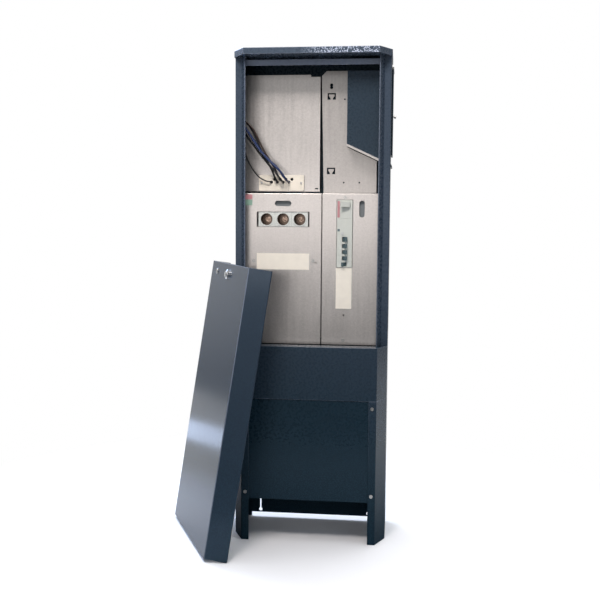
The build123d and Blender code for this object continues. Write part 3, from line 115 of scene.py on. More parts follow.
# Heights between which splashed dust dulls the paint less and less, the roughness that it adds, and
# the mirroring that it leaves
DUST_LOW = 0.0
DUST_HIGH = 0.3
DUST_ROUGH = 0.4
DUST_SHINE = 0.06

# Roughness and mirroring of the enamel, and how many painted glints and ripples come on one hammer mark
ENAMEL_SMOOTH = 0.24
ENAMEL_ROUGH = 0.32
ENAMEL_SHINE = 0.34
GLINT_COUNT = 0.8
RIPPLE_COUNT = 0.45

# Widths of the patterns that the settings don't hold
BLEACH_PATCH = 0.18
ROLLING_STREAK = 0.009
ZINC_STAIN = 0.16
BRASS_PATCH = 0.007
PLASTIC_CLOUD = 0.018
FLOOR_CLOUD = 0.9
THREAD_PITCH = 0.0041888

# A band pattern of scale 1 repeats at this distance
BAND_REPEAT = math.pi / 10

# Rolling streaks: their width over their length, and their share beside the crystals
STREAK_SHAPE = 0.06
STREAK_SHARE = 0.7

# Depths of the reliefs
ENAMEL_DEPTH = 0.00035
PATCH_DEPTH = 0.0001
GRAIN_DEPTH = 0.00005
THREAD_DEPTH = 0.001

# Share of the full tone in the darker parts of zinc and of plastic
ZINC_DARK = 0.66
PLASTIC_DARK = 0.88

# Which finish each material slot of the record gets
SLOT_FINISH = {
    "hammertone_paint": "hammertone_enamel",
    "galvanised_sheet": "galvanised_steel",
    "zinc_steel": "zinc_plated_steel",
    "pale_plastic": "cream_plastic",
    "grey_ceramic": "glazed_ceramic",
    "brass": "copper_alloy",
    "device_plastic": "moulded_grey_plastic",
    "dark_plastic": "moulded_dark_plastic",
    "button_plastic": "moulded_button_plastic",
    "black_rubber": "black_nitrile_rubber",
    "blue_insulation": "blue_pvc",
    "black_insulation": "black_pvc",
    "brown_insulation": "brown_pvc",
    "chrome": "chromed_zinc",
}

# Nodes with a finish of their own
NODE_FINISH = {
    "left_side": "weathered_lit_enamel",
    "right_side": "weathered_lit_enamel",
    "roof_cap": "roof_enamel",
    "top_rail": "rail_enamel",
    "door_shell": "door_enamel",
    "blank_plug": "zinc_plated_steel",
    "front_band": "band_enamel",
    "niche_box": "lining_enamel",
    "neutral_block": "moulded_slate_plastic",
    "earth_block": "moulded_slate_plastic",
    "fuse_shells": "threaded_brass",
    "fuse_contacts": "dark_patched_brass",
    "right_plate": "darker_galvanised_steel",
}

# Wires: material slot, diameter, and the route's points from behind the board to the free end
WIRES = {
    "wire_blue_1": ("blue_insulation", 0.0058, (
        (-0.0776, 0.168, 1.0372), (-0.0776, 0.106, 1.0372), (-0.0956, 0.106, 1.0662),
        (-0.1206, 0.106, 1.0872), (-0.1456, 0.106, 1.1122), (-0.1686, 0.106, 1.1412),
        (-0.1856, 0.106, 1.1692), (-0.2006, 0.106, 1.1912), (-0.2126, 0.106, 1.2122))),
    "wire_blue_2": ("blue_insulation", 0.0058, (
        (-0.0866, 0.168, 1.0456), (-0.0866, 0.112, 1.0456), (-0.1036, 0.112, 1.0766),
        (-0.1296, 0.112, 1.0976), (-0.1536, 0.112, 1.1226), (-0.1726, 0.112, 1.1506),
        (-0.1886, 0.112, 1.1746), (-0.2026, 0.112, 1.1936), (-0.2136, 0.112, 1.2146))),
    "wire_black_1": ("black_insulation", 0.0058, (
        (-0.1124, 0.168, 1.0372), (-0.1124, 0.130, 1.0372), (-0.1264, 0.130, 1.0762),
        (-0.1464, 0.130, 1.1062), (-0.1624, 0.130, 1.1382), (-0.1754, 0.130, 1.1692),
        (-0.1874, 0.130, 1.1932), (-0.2004, 0.130, 1.2092), (-0.2134, 0.130, 1.2202))),
    "wire_brown": ("brown_insulation", 0.0058, (
        (-0.1040, 0.168, 1.0456), (-0.1040, 0.124, 1.0456), (-0.1180, 0.124, 1.0816),
        (-0.1390, 0.124, 1.1106), (-0.1550, 0.124, 1.1396), (-0.1690, 0.124, 1.1686),
        (-0.1810, 0.124, 1.1916), (-0.1960, 0.124, 1.2066), (-0.2130, 0.124, 1.2166))),
    "wire_black_2": ("black_insulation", 0.0058, (
        (-0.0950, 0.168, 1.0372), (-0.0950, 0.118, 1.0372), (-0.1120, 0.118, 1.0652),
        (-0.1370, 0.118, 1.0902), (-0.1600, 0.118, 1.1182), (-0.1790, 0.118, 1.1442),
        (-0.1940, 0.118, 1.1632), (-0.2050, 0.118, 1.1822), (-0.2130, 0.118, 1.2012))),
    "wire_thin": ("black_insulation", 0.0038, (
        (-0.1298, 0.168, 1.0372), (-0.1298, 0.139, 1.0372), (-0.1468, 0.139, 1.0402),
        (-0.1678, 0.139, 1.0522), (-0.1848, 0.139, 1.0742), (-0.1978, 0.139, 1.0982),
        (-0.2068, 0.139, 1.1212), (-0.2138, 0.139, 1.1472))),
}

# Fineness of the wires around and along
WIRE_RING = 6
WIRE_STEPS = 10

# Plain stickers: the node they lie on, how far in from its left and upper edge they start, their
# width, height and finish
FIELDS = {
    "red_sticker": ("left_cover", 0.016, 0.004, 0.026, 0.014, "red_film"),
    "green_sticker": ("left_cover", 0.016, 0.019, 0.026, 0.016, "green_film"),
    "switch_strip": ("main_switch", 0.0222, 0.00285, 0.0068, 0.047, "red_film"),
}
FIELD_THICK = 0.0002
FIELD_CORNER = 0.001
FIELD_CORNER_STEPS = 4

# What the settings for colours, lengths and shares have in common
SWATCH = {"subtype": "COLOR", "size": 4, "min": 0.0, "max": 1.0}
LENGTH = {"subtype": "DISTANCE", "unit": "LENGTH"}
SHARE = {"subtype": "FACTOR", "min": 0.0, "max": 1.0}


def colour(code):
    """Linear colour from a screen colour code."""
    parts = [int(code[i:i + 2], 16) / 255 for i in (1, 3, 5)]
    linear = [c / 12.92 if c <= 0.04045 else ((c + 0.055) / 1.055) ** 2.4 for c in parts]
    return (*linear, 1.0)


class CabinetSettings(bpy.types.PropertyGroup):
    """Colours of the finishes and the sizes of their patterns."""
    paint: bpy.props.FloatVectorProperty(
        name="Paint", description="Enamel of the shell and the door, out of the weather",
        default=colour("#1a2f3a"), **SWATCH)
    paint_hollow: bpy.props.FloatVectorProperty(
        name="Paint hollows", description="Darker enamel between the hammer marks",
        default=colour("#12232d"), **SWATCH)
    # Greyer enamel towards the top: partly weather bleaching, partly painted light on the upper part
    paint_lit_bleached: bpy.props.FloatVectorProperty(
        name="Bleached paint", description="Enamel that the weather has bleached",
        default=colour("#454f5d"), **SWATCH)
    # Pale colour painted on as highlights: along edges and bends, as the roof's glints and over the rail
    paint_highlight: bpy.props.FloatVectorProperty(
        name="Worn paint", description="Enamel worn pale on edges and in chalky flecks",
        default=colour("#b7c0d2"), **SWATCH)
    zinc: bpy.props.FloatVectorProperty(
        name="Zinc", description="Galvanised sheet of the boards and covers",
        default=colour("#c9c5c2"), **SWATCH)
    cream: bpy.props.FloatVectorProperty(
        name="Cream plastic", description="Cable plate and blank labels",
        default=colour("#fff7e6"), **SWATCH)
    device: bpy.props.FloatVectorProperty(
        name="Device plastic", description="Housings of the switches and breakers",
        default=colour("#d6d9cf"), **SWATCH)
    toggle: bpy.props.FloatVectorProperty(
        name="Toggle plastic", description="Toggles and incoming terminals",
        default=colour("#566a6e"), **SWATCH)
    ceramic: bpy.props.FloatVectorProperty(
        name="Ceramic", description="Glazed fuse bases", default=colour("#d6dad2"), **SWATCH)
    hammer_cell: bpy.props.FloatProperty(
        name="Hammer mark", description="Width of one mark in the hammer-finish enamel",
        min=0.0005, max=0.02, default=0.0032, **LENGTH)
    hammer_relief: bpy.props.FloatProperty(
        name="Hammer relief", description="Strength of the enamel's relief", default=0.07, **SHARE)
    edge_round: bpy.props.FloatProperty(
        name="Edge rounding", description="Radius that sheet edges seem to have under the enamel",
        min=0.0, max=0.01, default=0.002, **LENGTH)
    # Strength of the painted highlight along the sheet edges
    edge_highlight: bpy.props.FloatProperty(
        name="Edge wear", description="How pale the sheet edges are worn", default=0.8, **SHARE)
    spangle: bpy.props.FloatProperty(
        name="Zinc spangle", description="Width of one crystal on the galvanised sheet",
        min=0.001, max=0.04, default=0.0035, **LENGTH)
    grain: bpy.props.FloatProperty(
        name="Moulding grain", description="Width of the grain on moulded plastic",
        min=0.0001, max=0.005, default=0.0006, **LENGTH)


def settings():
    """The add-on's settings in the current scene."""
    return bpy.context.scene.meter_cabinet


def fill(tree, node, inputs):
    """Links the sockets that are given a socket, and writes the others."""
    for key, value in inputs.items():
        if isinstance(value, bpy.types.NodeSocket):
            tree.links.new(value, node.inputs[key])
        else:
            node.inputs[key].default_value = value


def add(tree, kind, inputs, **options):
    """Adds a node with its options and sockets."""
    node = tree.nodes.new(kind)
    for name, value in options.items():
        setattr(node, name, value)
    fill(tree, node, inputs)
    return node


def start(name):
    """New material, its node tree, its shader and the place on the object."""
    made = bpy.data.materials.new(name)
    made.use_nodes = True
    tree = made.node_tree
    place = add(tree, "ShaderNodeTexCoord", {}).outputs["Object"]
    return made, tree, tree.nodes["Principled BSDF"], place


def enamel(name, lit_bleach, low=LIT_BLEACH_LOW, dents=1.0, dust=1.0, glints=0.0, even_light=0.0, gloss=0.0,
           shine=ENAMEL_SHINE, front=None):
    """Dark blue-grey enamel.

    lit_bleach is the share turned greyer above, partly weather bleaching and partly painted light on
    the upper part, and low the height where that starts, dents the depth of the dents, dust the share
    dulled near the ground, glints and even_light the strength of the pale spots that are painted glints
    and of an even painted lightening, gloss what the roughness loses, shine the strength of the
    mirroring, and front the way a front with rounded bends faces."""
    # Hammer-finish enamel: small shallow dents that break up the sheen, greyer higher up, partly from
    # weather bleaching and partly as painted light on the upper part, and dull with splashed dust near
    # the ground; rounded sheet edges carry a painted pale highlight, and the painted glint flecks are
    # drawn coarser than the dents so that they show
    made, tree, shader, place = start(name)
    look = settings()

    # Hammer marks
    cells = add(tree, "ShaderNodeTexVoronoi",
                {"Vector": place, "Scale": 1.0 / look.hammer_cell, "Smoothness": 0.5},
                feature="SMOOTH_F1").outputs["Distance"]
    crown = add(tree, "ShaderNodeMapRange",
                {"Value": cells, "From Min": 0.15, "From Max": 0.6,
                 "To Min": 1.0, "To Max": 0.0}).outputs["Result"]
    flecked = add(tree, "ShaderNodeMix", {0: crown, 6: look.paint_hollow, 7: look.paint},
                  data_type="RGBA").outputs[2]

    # Bleaching and painted light that grey the paint upward, and dust
    patches = add(tree, "ShaderNodeTexNoise",
                  {"Vector": place, "Scale": 1.0 / BLEACH_PATCH, "Detail": 3.0}).outputs["Fac"]
    patchy = add(tree, "ShaderNodeMapRange",
                 {"Value": patches, "From Min": 0.25, "From Max": 0.75,
                  "To Min": 0.85 * lit_bleach, "To Max": lit_bleach}).outputs["Result"]
    split = add(tree, "ShaderNodeSeparateXYZ", {0: place})
    across = split.outputs["X"]
    height = split.outputs["Z"]
    # Greyer upward: weather bleaching together with painted light on the upper part
    above = add(tree, "ShaderNodeMapRange",
                {"Value": height, "From Min": low, "From Max": LIT_BLEACH_HIGH}).outputs["Result"]
    clean = add(tree, "ShaderNodeMapRange",
                {"Value": height, "From Min": DUST_LOW, "From Max": DUST_HIGH,
                 "To Min": 1.0 - dust, "To Max": 1.0}).outputs["Result"]
    mirror = add(tree, "ShaderNodeMapRange",
                 {"Value": clean, "To Min": DUST_SHINE, "To Max": shine}).outputs["Result"]
    share = add(tree, "ShaderNodeMath", {0: above, 1: patchy}, operation="MULTIPLY").outputs[0]
    lit_faded = add(tree, "ShaderNodeMix", {0: share, 6: flecked, 7: look.paint_lit_bleached},
                data_type="RGBA").outputs[2]

    # Painted highlights on rounded edges and bends
    rounded = add(tree, "ShaderNodeBevel", {"Radius": look.edge_round},
                  samples=8).outputs["Normal"]
    flat = add(tree, "ShaderNodeNewGeometry", {}).outputs["Normal"]
    turned = add(tree, "ShaderNodeVectorMath", {0: rounded, 1: flat},
                 operation="DOT_PRODUCT").outputs["Value"]
    edge = add(tree, "ShaderNodeMapRange",
               {"Value": turned, "From Min": 0.995, "From Max": 0.9,
                "To Max": look.edge_highlight}).outputs["Result"]
    if front:
        facing = add(tree, "ShaderNodeVectorMath", {0: flat, 1: front},
                     operation="DOT_PRODUCT").outputs["Value"]
        leaving = add(tree, "ShaderNodeMapRange",
                      {"Value": facing, "From Min": HIGHLIGHT_BEND_FRONT[0], "From Max": HIGHLIGHT_BEND_FRONT[1],
                       "To Max": look.edge_highlight}).outputs["Result"]
        arriving = add(tree, "ShaderNodeMapRange",
                       {"Value": facing, "From Min": HIGHLIGHT_BEND_SIDE[0],
                        "From Max": HIGHLIGHT_BEND_SIDE[1]}).outputs["Result"]
        edge = add(tree, "ShaderNodeMath", {0: leaving, 1: arriving},
                   operation="MULTIPLY").outputs[0]
    # Painted highlight on the edges, only where the paint is greyed
    highlit = add(tree, "ShaderNodeMath", {0: edge, 1: share}, operation="MULTIPLY").outputs[0]

    # Painted glints as pale flecks on faces that look ahead, and even painted lightening
    lumps = add(tree, "ShaderNodeTexVoronoi",
                {"Vector": place, "Scale": GLINT_COUNT / look.hammer_cell}).outputs["Distance"]
    spots = add(tree, "ShaderNodeMapRange",
                {"Value": lumps, "From Min": 0.55, "From Max": 0.3,
                 "To Max": glints}).outputs["Result"]
    right = add(tree, "ShaderNodeMapRange",
                {"Value": across, "From Min": GLINT_LEFT,
                 "From Max": GLINT_RIGHT}).outputs["Result"]
    ahead = add(tree, "ShaderNodeVectorMath", {0: flat, 1: (0.0, -1.0, 0.0)},
                operation="DOT_PRODUCT").outputs["Value"]
    level = add(tree, "ShaderNodeMapRange",
                {"Value": ahead, "From Min": 0.9, "From Max": 0.97}).outputs["Result"]
    there = add(tree, "ShaderNodeMath", {0: right, 1: level}, operation="MULTIPLY").outputs[0]
    spotted = add(tree, "ShaderNodeMath", {0: spots, 1: there}, operation="MULTIPLY").outputs[0]
    painted_light = add(tree, "ShaderNodeMath", {0: spotted, 1: even_light}, operation="MAXIMUM").outputs[0]
    pale = add(tree, "ShaderNodeMath", {0: highlit, 1: painted_light}, operation="MAXIMUM").outputs[0]
    # Pale painted highlight colour laid over the edges, the glints and the even lightening
    paint = add(tree, "ShaderNodeMix", {0: pale, 6: lit_faded, 7: look.paint_highlight},
                data_type="RGBA").outputs[2]

    # Sheen and relief
    fine = add(tree, "ShaderNodeTexNoise",
               {"Vector": place, "Scale": RIPPLE_COUNT / look.hammer_cell,
                "Detail": 3.0}).outputs["Fac"]
    sheen = add(tree, "ShaderNodeMapRange",
                {"Value": fine, "From Min": 0.3, "From Max": 0.7,
                 "To Min": ENAMEL_SMOOTH - gloss, "To Max": ENAMEL_ROUGH - gloss}).outputs["Result"]
    dull = add(tree, "ShaderNodeMapRange",
               {"Value": clean, "To Min": DUST_ROUGH, "To Max": 0.0}).outputs["Result"]
    rough = add(tree, "ShaderNodeMath", {0: sheen, 1: dull}, operation="ADD").outputs[0]
    marks = add(tree, "ShaderNodeMath", {0: crown, 1: fine}, operation="ADD").outputs[0]
    bump = add(tree, "ShaderNodeBump",
               {"Height": marks, "Strength": look.hammer_relief * dents, "Distance": ENAMEL_DEPTH,
                "Normal": rounded}).outputs["Normal"]
    fill(tree, shader, {"Base Color": paint, "Roughness": rough, "Normal": bump,
                        "Specular IOR Level": mirror, "Specular Tint": colour("#cbdcec")})
    return made


def hammertone_enamel():
    """Enamel out of the weather: inside, low down and behind."""
    # Dark blue with shallow dents, dull near the ground
    return enamel("hammertone_enamel", lit_bleach=0.0, dents=0.3)


def weathered_lit_enamel():
    """Enamel on the posts."""
    # Greyer with height, partly weather bleaching and partly painted light on the upper part, with painted
    # highlights along the edges
    return enamel("weathered_lit_enamel", lit_bleach=0.75, dents=0.6)


def roof_enamel():
    """Enamel on the roof, with deeper dents and pale flecks that are painted glints."""
    # Glittering dents, and pale specks on the right that are painted glints
    return enamel("roof_enamel", lit_bleach=0.75, dents=6.0, glints=1.0)


def rail_enamel():
    """Enamel on the rail below the roof, evenly lightened with painted light."""
    # Pale grey all over: painted light standing in for the light that reaches the rail
    return enamel("rail_enamel", lit_bleach=1.0, even_light=0.5)


def door_enamel():
    """Enamel on the door, kept clean."""
    # Smooth enough to mirror the floor, greyer higher up partly as painted light, with painted highlights along
    # its bends
    return enamel("door_enamel", lit_bleach=0.5, low=-0.4, dents=0.1, dust=0.0, gloss=0.12, shine=0.2,
                  front=DOOR_FRONT)


def band_enamel():
    """Enamel of the front band."""
    # Half greyed, with shallow dents
    return enamel("band_enamel", lit_bleach=0.5, dents=0.4)


def lining_enamel():
    """Enamel of the niche."""
    # Dark blue, slightly greyed
    return enamel("lining_enamel", lit_bleach=0.3)


def galvanised(name, tone):
    """Pale galvanised sheet, with a share of its full tone."""
    # Faint crystals and rolling streaks that make the metal look soft and uneven
    made, tree, shader, place = start(name)
    look = settings()
    bright = (*(c * tone for c in look.zinc[:3]), 1.0)
    dark = (*(c * ZINC_DARK for c in bright[:3]), 1.0)
    cells = add(tree, "ShaderNodeTexVoronoi",
                {"Vector": place, "Scale": 1.0 / look.spangle}).outputs["Color"]
    spangle = add(tree, "ShaderNodeSeparateColor", {"Color": cells}).outputs["Red"]
    drawn = add(tree, "ShaderNodeMapping",
                {"Vector": place, "Scale": (1.0, 1.0, STREAK_SHAPE)}).outputs["Vector"]
    streak = add(tree, "ShaderNodeTexNoise",
                 {"Vector": drawn, "Scale": 1.0 / ROLLING_STREAK, "Detail": 4.0}).outputs["Fac"]
    mixed = add(tree, "ShaderNodeMix", {0: STREAK_SHARE, 2: spangle, 3: streak},
                data_type="FLOAT").outputs[0]
    sheet = add(tree, "ShaderNodeMix", {0: mixed, 6: dark, 7: bright}, data_type="RGBA").outputs[2]
    cloud = add(tree, "ShaderNodeTexNoise",
                {"Vector": place, "Scale": 1.0 / ZINC_STAIN}).outputs["Fac"]
    stain = add(tree, "ShaderNodeMapRange",
                {"Value": cloud, "From Min": 0.35, "From Max": 0.75,
                 "To Max": 0.15}).outputs["Result"]
    metal = add(tree, "ShaderNodeMix", {0: stain, 6: sheet, 7: dark}, data_type="RGBA").outputs[2]
    sheen = add(tree, "ShaderNodeMapRange",
                {"Value": mixed, "From Min": 0.2, "From Max": 0.8,
                 "To Min": 0.28, "To Max": 0.38}).outputs["Result"]
    bump = add(tree, "ShaderNodeBump",
               {"Height": mixed, "Strength": 0.04, "Distance": PATCH_DEPTH}).outputs["Normal"]
    fill(tree, shader, {"Base Color": metal, "Roughness": sheen, "Normal": bump, "Metallic": 0.85})
    return made


def galvanised_steel():
    """Sheet of the meter board and the covers."""
    # Bright, warm grey
    return galvanised("galvanised_steel", tone=1.0)


def darker_galvanised_steel():
    """Sheet of the right plate, drawn darker than the meter board's."""
    # The same grey, a little darker
    return galvanised("darker_galvanised_steel", tone=0.82)


def mottled(name, light, dark, size, smooth, rough, relief, metallic=0.0, coat=0.0):
    """Material of two colours in soft patches of that size.

    The light patches have the smooth roughness, and the dark ones the rough one."""
    made, tree, shader, place = start(name)
    patch = add(tree, "ShaderNodeTexNoise",
                {"Vector": place, "Scale": 1.0 / size, "Detail": 4.0}).outputs["Fac"]
    share = add(tree, "ShaderNodeMapRange",
                {"Value": patch, "From Min": 0.35, "From Max": 0.7}).outputs["Result"]
    tone = add(tree, "ShaderNodeMix", {0: share, 6: tuple(light), 7: tuple(dark)},
               data_type="RGBA").outputs[2]
    sheen = add(tree, "ShaderNodeMapRange",
                {"Value": share, "To Min": smooth, "To Max": rough}).outputs["Result"]
    bump = add(tree, "ShaderNodeBump",
               {"Height": patch, "Strength": relief, "Distance": PATCH_DEPTH}).outputs["Normal"]
    fill(tree, shader, {"Base Color": tone, "Roughness": sheen, "Normal": bump,
                        "Metallic": metallic, "Coat Weight": coat, "Coat Roughness": 0.08})
    return made


def zinc_plated_steel():
    """Bright zinc plating."""
    # Fine turning marks that dull the shine of screws and hinges
    return mottled("zinc_plated_steel", colour("#b4b4b2"), colour("#8f908f"), size=0.0012,
                   smooth=0.25, rough=0.42, relief=0.1, metallic=0.9)


def chromed_zinc():
    """Polished chrome of the lock."""
    # Bright, with faint wear that breaks the mirror
    return mottled("chromed_zinc", colour("#d9dadb"), colour("#a9abad"), size=0.0025,
                   smooth=0.06, rough=0.22, relief=0.0, metallic=1.0)


def copper_alloy():
    """Contacts and bolts of brass."""
    # Dull patches on a warm metal
    return mottled("copper_alloy", colour("#c4ab98"), colour("#86705f"), size=BRASS_PATCH,
                   smooth=0.28, rough=0.5, relief=0.05, metallic=1.0)


def dark_patched_brass():
    """Contacts at the bottom of the fuse sockets."""
    # Large dark patches that leave little of the brass bright
    return mottled("dark_patched_brass", colour("#b8a293"), colour("#5a4a40"), size=0.004,
                   smooth=0.3, rough=0.5, relief=0.05, metallic=1.0)


def glazed_ceramic():
    """Glazed fuse bases."""
    # Small grey specks under a clear glaze
    return mottled("glazed_ceramic", settings().ceramic, colour("#b4b8b2"), size=0.0016,
                   smooth=0.22, rough=0.3, relief=0.08, coat=0.5)


def moulded(name, light, smooth, rough):
    """Moulded plastic, with a roughness between these two."""
    # Fine grain from the mould that softens the shine, and faint clouds
    made, tree, shader, place = start(name)
    dark = (*(c * PLASTIC_DARK for c in light[:3]), 1.0)
    cloud = add(tree, "ShaderNodeTexNoise",
                {"Vector": place, "Scale": 1.0 / PLASTIC_CLOUD}).outputs["Fac"]
    tone = add(tree, "ShaderNodeMix", {0: cloud, 6: dark, 7: tuple(light)},
               data_type="RGBA").outputs[2]
    grain = add(tree, "ShaderNodeTexNoise",
                {"Vector": place, "Scale": 1.0 / settings().grain}).outputs["Fac"]
    sheen = add(tree, "ShaderNodeMapRange",
                {"Value": grain, "From Min": 0.3, "From Max": 0.7,
                 "To Min": smooth, "To Max": rough}).outputs["Result"]
    bump = add(tree, "ShaderNodeBump",
               {"Height": grain, "Strength": 0.12, "Distance": GRAIN_DEPTH}).outputs["Normal"]
    fill(tree, shader, {"Base Color": tone, "Roughness": sheen, "Normal": bump})
    return made


def cream_plastic():
    """Cable plate and labels."""
    # Warm off-white, almost matt
    return moulded("cream_plastic", settings().cream, smooth=0.45, rough=0.62)


def moulded_grey_plastic():
    """Device housings."""
    # Pale grey with a satin shine
    return moulded("moulded_grey_plastic", settings().device, smooth=0.38, rough=0.55)


def moulded_slate_plastic():
    """Terminal blocks behind the covers' slots."""
    # Mid grey, the blocks' own tone darkened as painted shade so the slots look deep
    return moulded("moulded_slate_plastic", colour("#7b8183"), smooth=0.4, rough=0.55)


def moulded_dark_plastic():
    """Toggles and incoming terminals."""
    # Dark slate with a clearer shine
    return moulded("moulded_dark_plastic", settings().toggle, smooth=0.25, rough=0.4)


def moulded_button_plastic():
    """Push button."""
    # Pale grey with a clearer shine
    return moulded("moulded_button_plastic", colour("#cfd0cc"), smooth=0.3, rough=0.45)


def red_film():
    """Faded red sticker."""
    # Pinkish and even, with a satin shine
    return moulded("red_film", colour("#c98c90"), smooth=0.4, rough=0.55)


def green_film():
    """Faded green sticker."""
    # Greyish green and even, with a satin shine
    return moulded("green_film", colour("#8fb09d"), smooth=0.4, rough=0.55)


def black_nitrile_rubber():
    """Cable bushes."""
    # Nearly black and matt
    return moulded("black_nitrile_rubber", colour("#1f2124"), smooth=0.7, rough=0.85)


def threaded_brass():
    """Screw shells of the fuses, with their round thread."""
    # Dark, dull brass; the thread's ridges along the bore make bright and dark rings
    made, tree, shader, place = start("threaded_brass")
    ridges = add(tree, "ShaderNodeTexWave",
                 {"Vector": place, "Scale": BAND_REPEAT / THREAD_PITCH, "Distortion": 0.0},
                 wave_type="BANDS", bands_direction="Y").outputs["Fac"]
    dull = add(tree, "ShaderNodeTexNoise",
               {"Vector": place, "Scale": 1.0 / BRASS_PATCH, "Detail": 4.0}).outputs["Fac"]
    tone = add(tree, "ShaderNodeMix", {0: dull, 6: colour("#7a6a60"), 7: colour("#392f29")},
               data_type="RGBA").outputs[2]
    bump = add(tree, "ShaderNodeBump",
               {"Height": ridges, "Strength": 0.6, "Distance": THREAD_DEPTH}).outputs["Normal"]
    fill(tree, shader, {"Base Color": tone, "Roughness": 0.36, "Normal": bump, "Metallic": 0.9})
    return made


def pvc(name, light, dark):
    """Cable insulation."""
    # Soft sheen with a slight waviness along the cable
    return mottled(name, colour(light), colour(dark), size=0.005,
                   smooth=0.3, rough=0.45, relief=0.08)


def blue_pvc():
    """Blue insulation."""
    # Deep blue, almost black in the shade
    return pvc("blue_pvc", "#1f3566", "#16284f")


def black_pvc():
    """Black insulation."""
    # Black with a cool tint
    return pvc("black_pvc", "#1f2226", "#16181b")


def brown_pvc():
    """Brown insulation."""
    # Dark, greyed brown
    return pvc("brown_pvc", "#40302b", "#2e221e")


def seen_directly(tree):
    """Share of rays that come from the camera, a mirror or glass."""
    path = add(tree, "ShaderNodeLightPath", {}).outputs
    mirrored = add(tree, "ShaderNodeMath", {0: path["Is Camera Ray"], 1: path["Is Glossy Ray"]},
                   operation="ADD").outputs[0]
    return add(tree, "ShaderNodeMath", {0: mirrored, 1: path["Is Transmission Ray"]},
               operation="ADD", use_clamp=True).outputs[0]


def pale_floor():
    """Matt pale floor that turns into the white background away from the object."""
    # Even and dull, so only the shadow shows on it
    made, tree, shader, place = start("pale_floor")
    cloud = add(tree, "ShaderNodeTexNoise",
                {"Vector": place, "Scale": 1.0 / FLOOR_CLOUD}).outputs["Fac"]
    tone = add(tree, "ShaderNodeMix", {0: cloud, 6: colour("#f4f4f4"), 7: colour("#f8f8f8")},
               data_type="RGBA").outputs[2]
    fill(tree, shader, {"Base Color": tone, "Roughness": 0.9, "Specular IOR Level": 0.1})
    away = add(tree, "ShaderNodeVectorMath", {0: place, 1: WHITE_MIDDLE},
               operation="DISTANCE").outputs["Value"]
    far = add(tree, "ShaderNodeMapRange",
              {"Value": away, "From Min": WHITE_START, "From Max": WHITE_END},
              interpolation_type="SMOOTHSTEP").outputs["Result"]
    white = add(tree, "ShaderNodeEmission",
                {"Color": (1.0, 1.0, 1.0, 1.0), "Strength": 1.0}).outputs[0]
    share = add(tree, "ShaderNodeMath", {0: far, 1: seen_directly(tree)},
                operation="MULTIPLY").outputs[0]
    mix = add(tree, "ShaderNodeMixShader", {0: share, 1: shader.outputs[0], 2: white})
    fill(tree, tree.nodes["Material Output"], {"Surface": mix.outputs[0]})
    return made


# Every finish by its name
FINISHES = {made.__name__: made for made in (
    hammertone_enamel, weathered_lit_enamel, roof_enamel, rail_enamel, door_enamel, band_enamel,
    lining_enamel, galvanised_steel, darker_galvanised_steel, zinc_plated_steel, chromed_zinc,
    copper_alloy, dark_patched_brass, threaded_brass, glazed_ceramic, cream_plastic, moulded_grey_plastic,
    moulded_slate_plastic, moulded_dark_plastic, moulded_button_plastic, red_film, green_film,
    black_nitrile_rubber, blue_pvc, black_pvc, brown_pvc, pale_floor)}


def finish(name):
    """The named material, made once."""
    return bpy.data.materials.get(name) or FINISHES[name]()


def wear(piece, name):
    """Gives a piece one material."""
    piece.data.materials.clear()
    piece.data.materials.append(finish(name))


def show(piece):
    """Links a new piece into the scene."""
    bpy.context.scene.collection.objects.link(piece)
    return piece


class CABINET_OT_finishes(bpy.types.Operator):
    """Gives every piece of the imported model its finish"""
    bl_idname = "cabinet.finishes"
    bl_label = "Finish the cabinet"

    def execute(self, context):
        for part in frame["record"]["subparts"]:
            node = part["node"]
            name = NODE_FINISH.get(node, SLOT_FINISH[part["material_slot"]])
            for slot in frame["nodes"][node].material_slots:
                slot.material = finish(name)
        return {"FINISHED"}


def wire_curve(name, diameter, points):
    """Smooth round curve along a wire's route."""
    curve = bpy.data.curves.new(name, "CURVE")
    curve.dimensions = "3D"
    curve.bevel_depth = 1.0
    curve.bevel_resolution = WIRE_RING
    curve.resolution_u = WIRE_STEPS
    curve.use_fill_caps = True
    spline = curve.splines.new("NURBS")
    spline.points.add(len(points) - 1)
    for point, place in zip(spline.points, points):
        point.co = (*place, 1.0)
        # The points carry the wire's radius, since a curve's box counts it
        point.radius = diameter / 2
    spline.order_u = 3
    spline.use_endpoint_u = True
    return show(bpy.data.objects.new(name, curve))


def route_length(piece):
    """Length of a curve's own line."""
    curve = piece.data
    bevel, caps = curve.bevel_depth, curve.use_fill_caps
    curve.bevel_depth, curve.use_fill_caps = 0.0, False
    bpy.context.view_layer.update()
    view = bpy.context.evaluated_depsgraph_get()
    line = bpy.data.meshes.new_from_object(piece.evaluated_get(view))
    places = [v.co.copy() for v in line.vertices]
    bpy.data.meshes.remove(line)
    curve.bevel_depth, curve.use_fill_caps = bevel, caps
    return sum((b - a).length for a, b in zip(places, places[1:]))


class CABINET_OT_wires(bpy.types.Operator):
    """Draws the loose meter wires as smooth round cords"""
    bl_idname = "cabinet.wires"
    bl_label = "Draw the wires"

    def execute(self, context):
        for node, (slot, diameter, points) in WIRES.items():
            piece = wire_curve("cord_" + node, diameter, points)
            wear(piece, SLOT_FINISH[slot])
            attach(piece, "cabinet")
            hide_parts(node)
            route_length(piece)
        return {"FINISHED"}


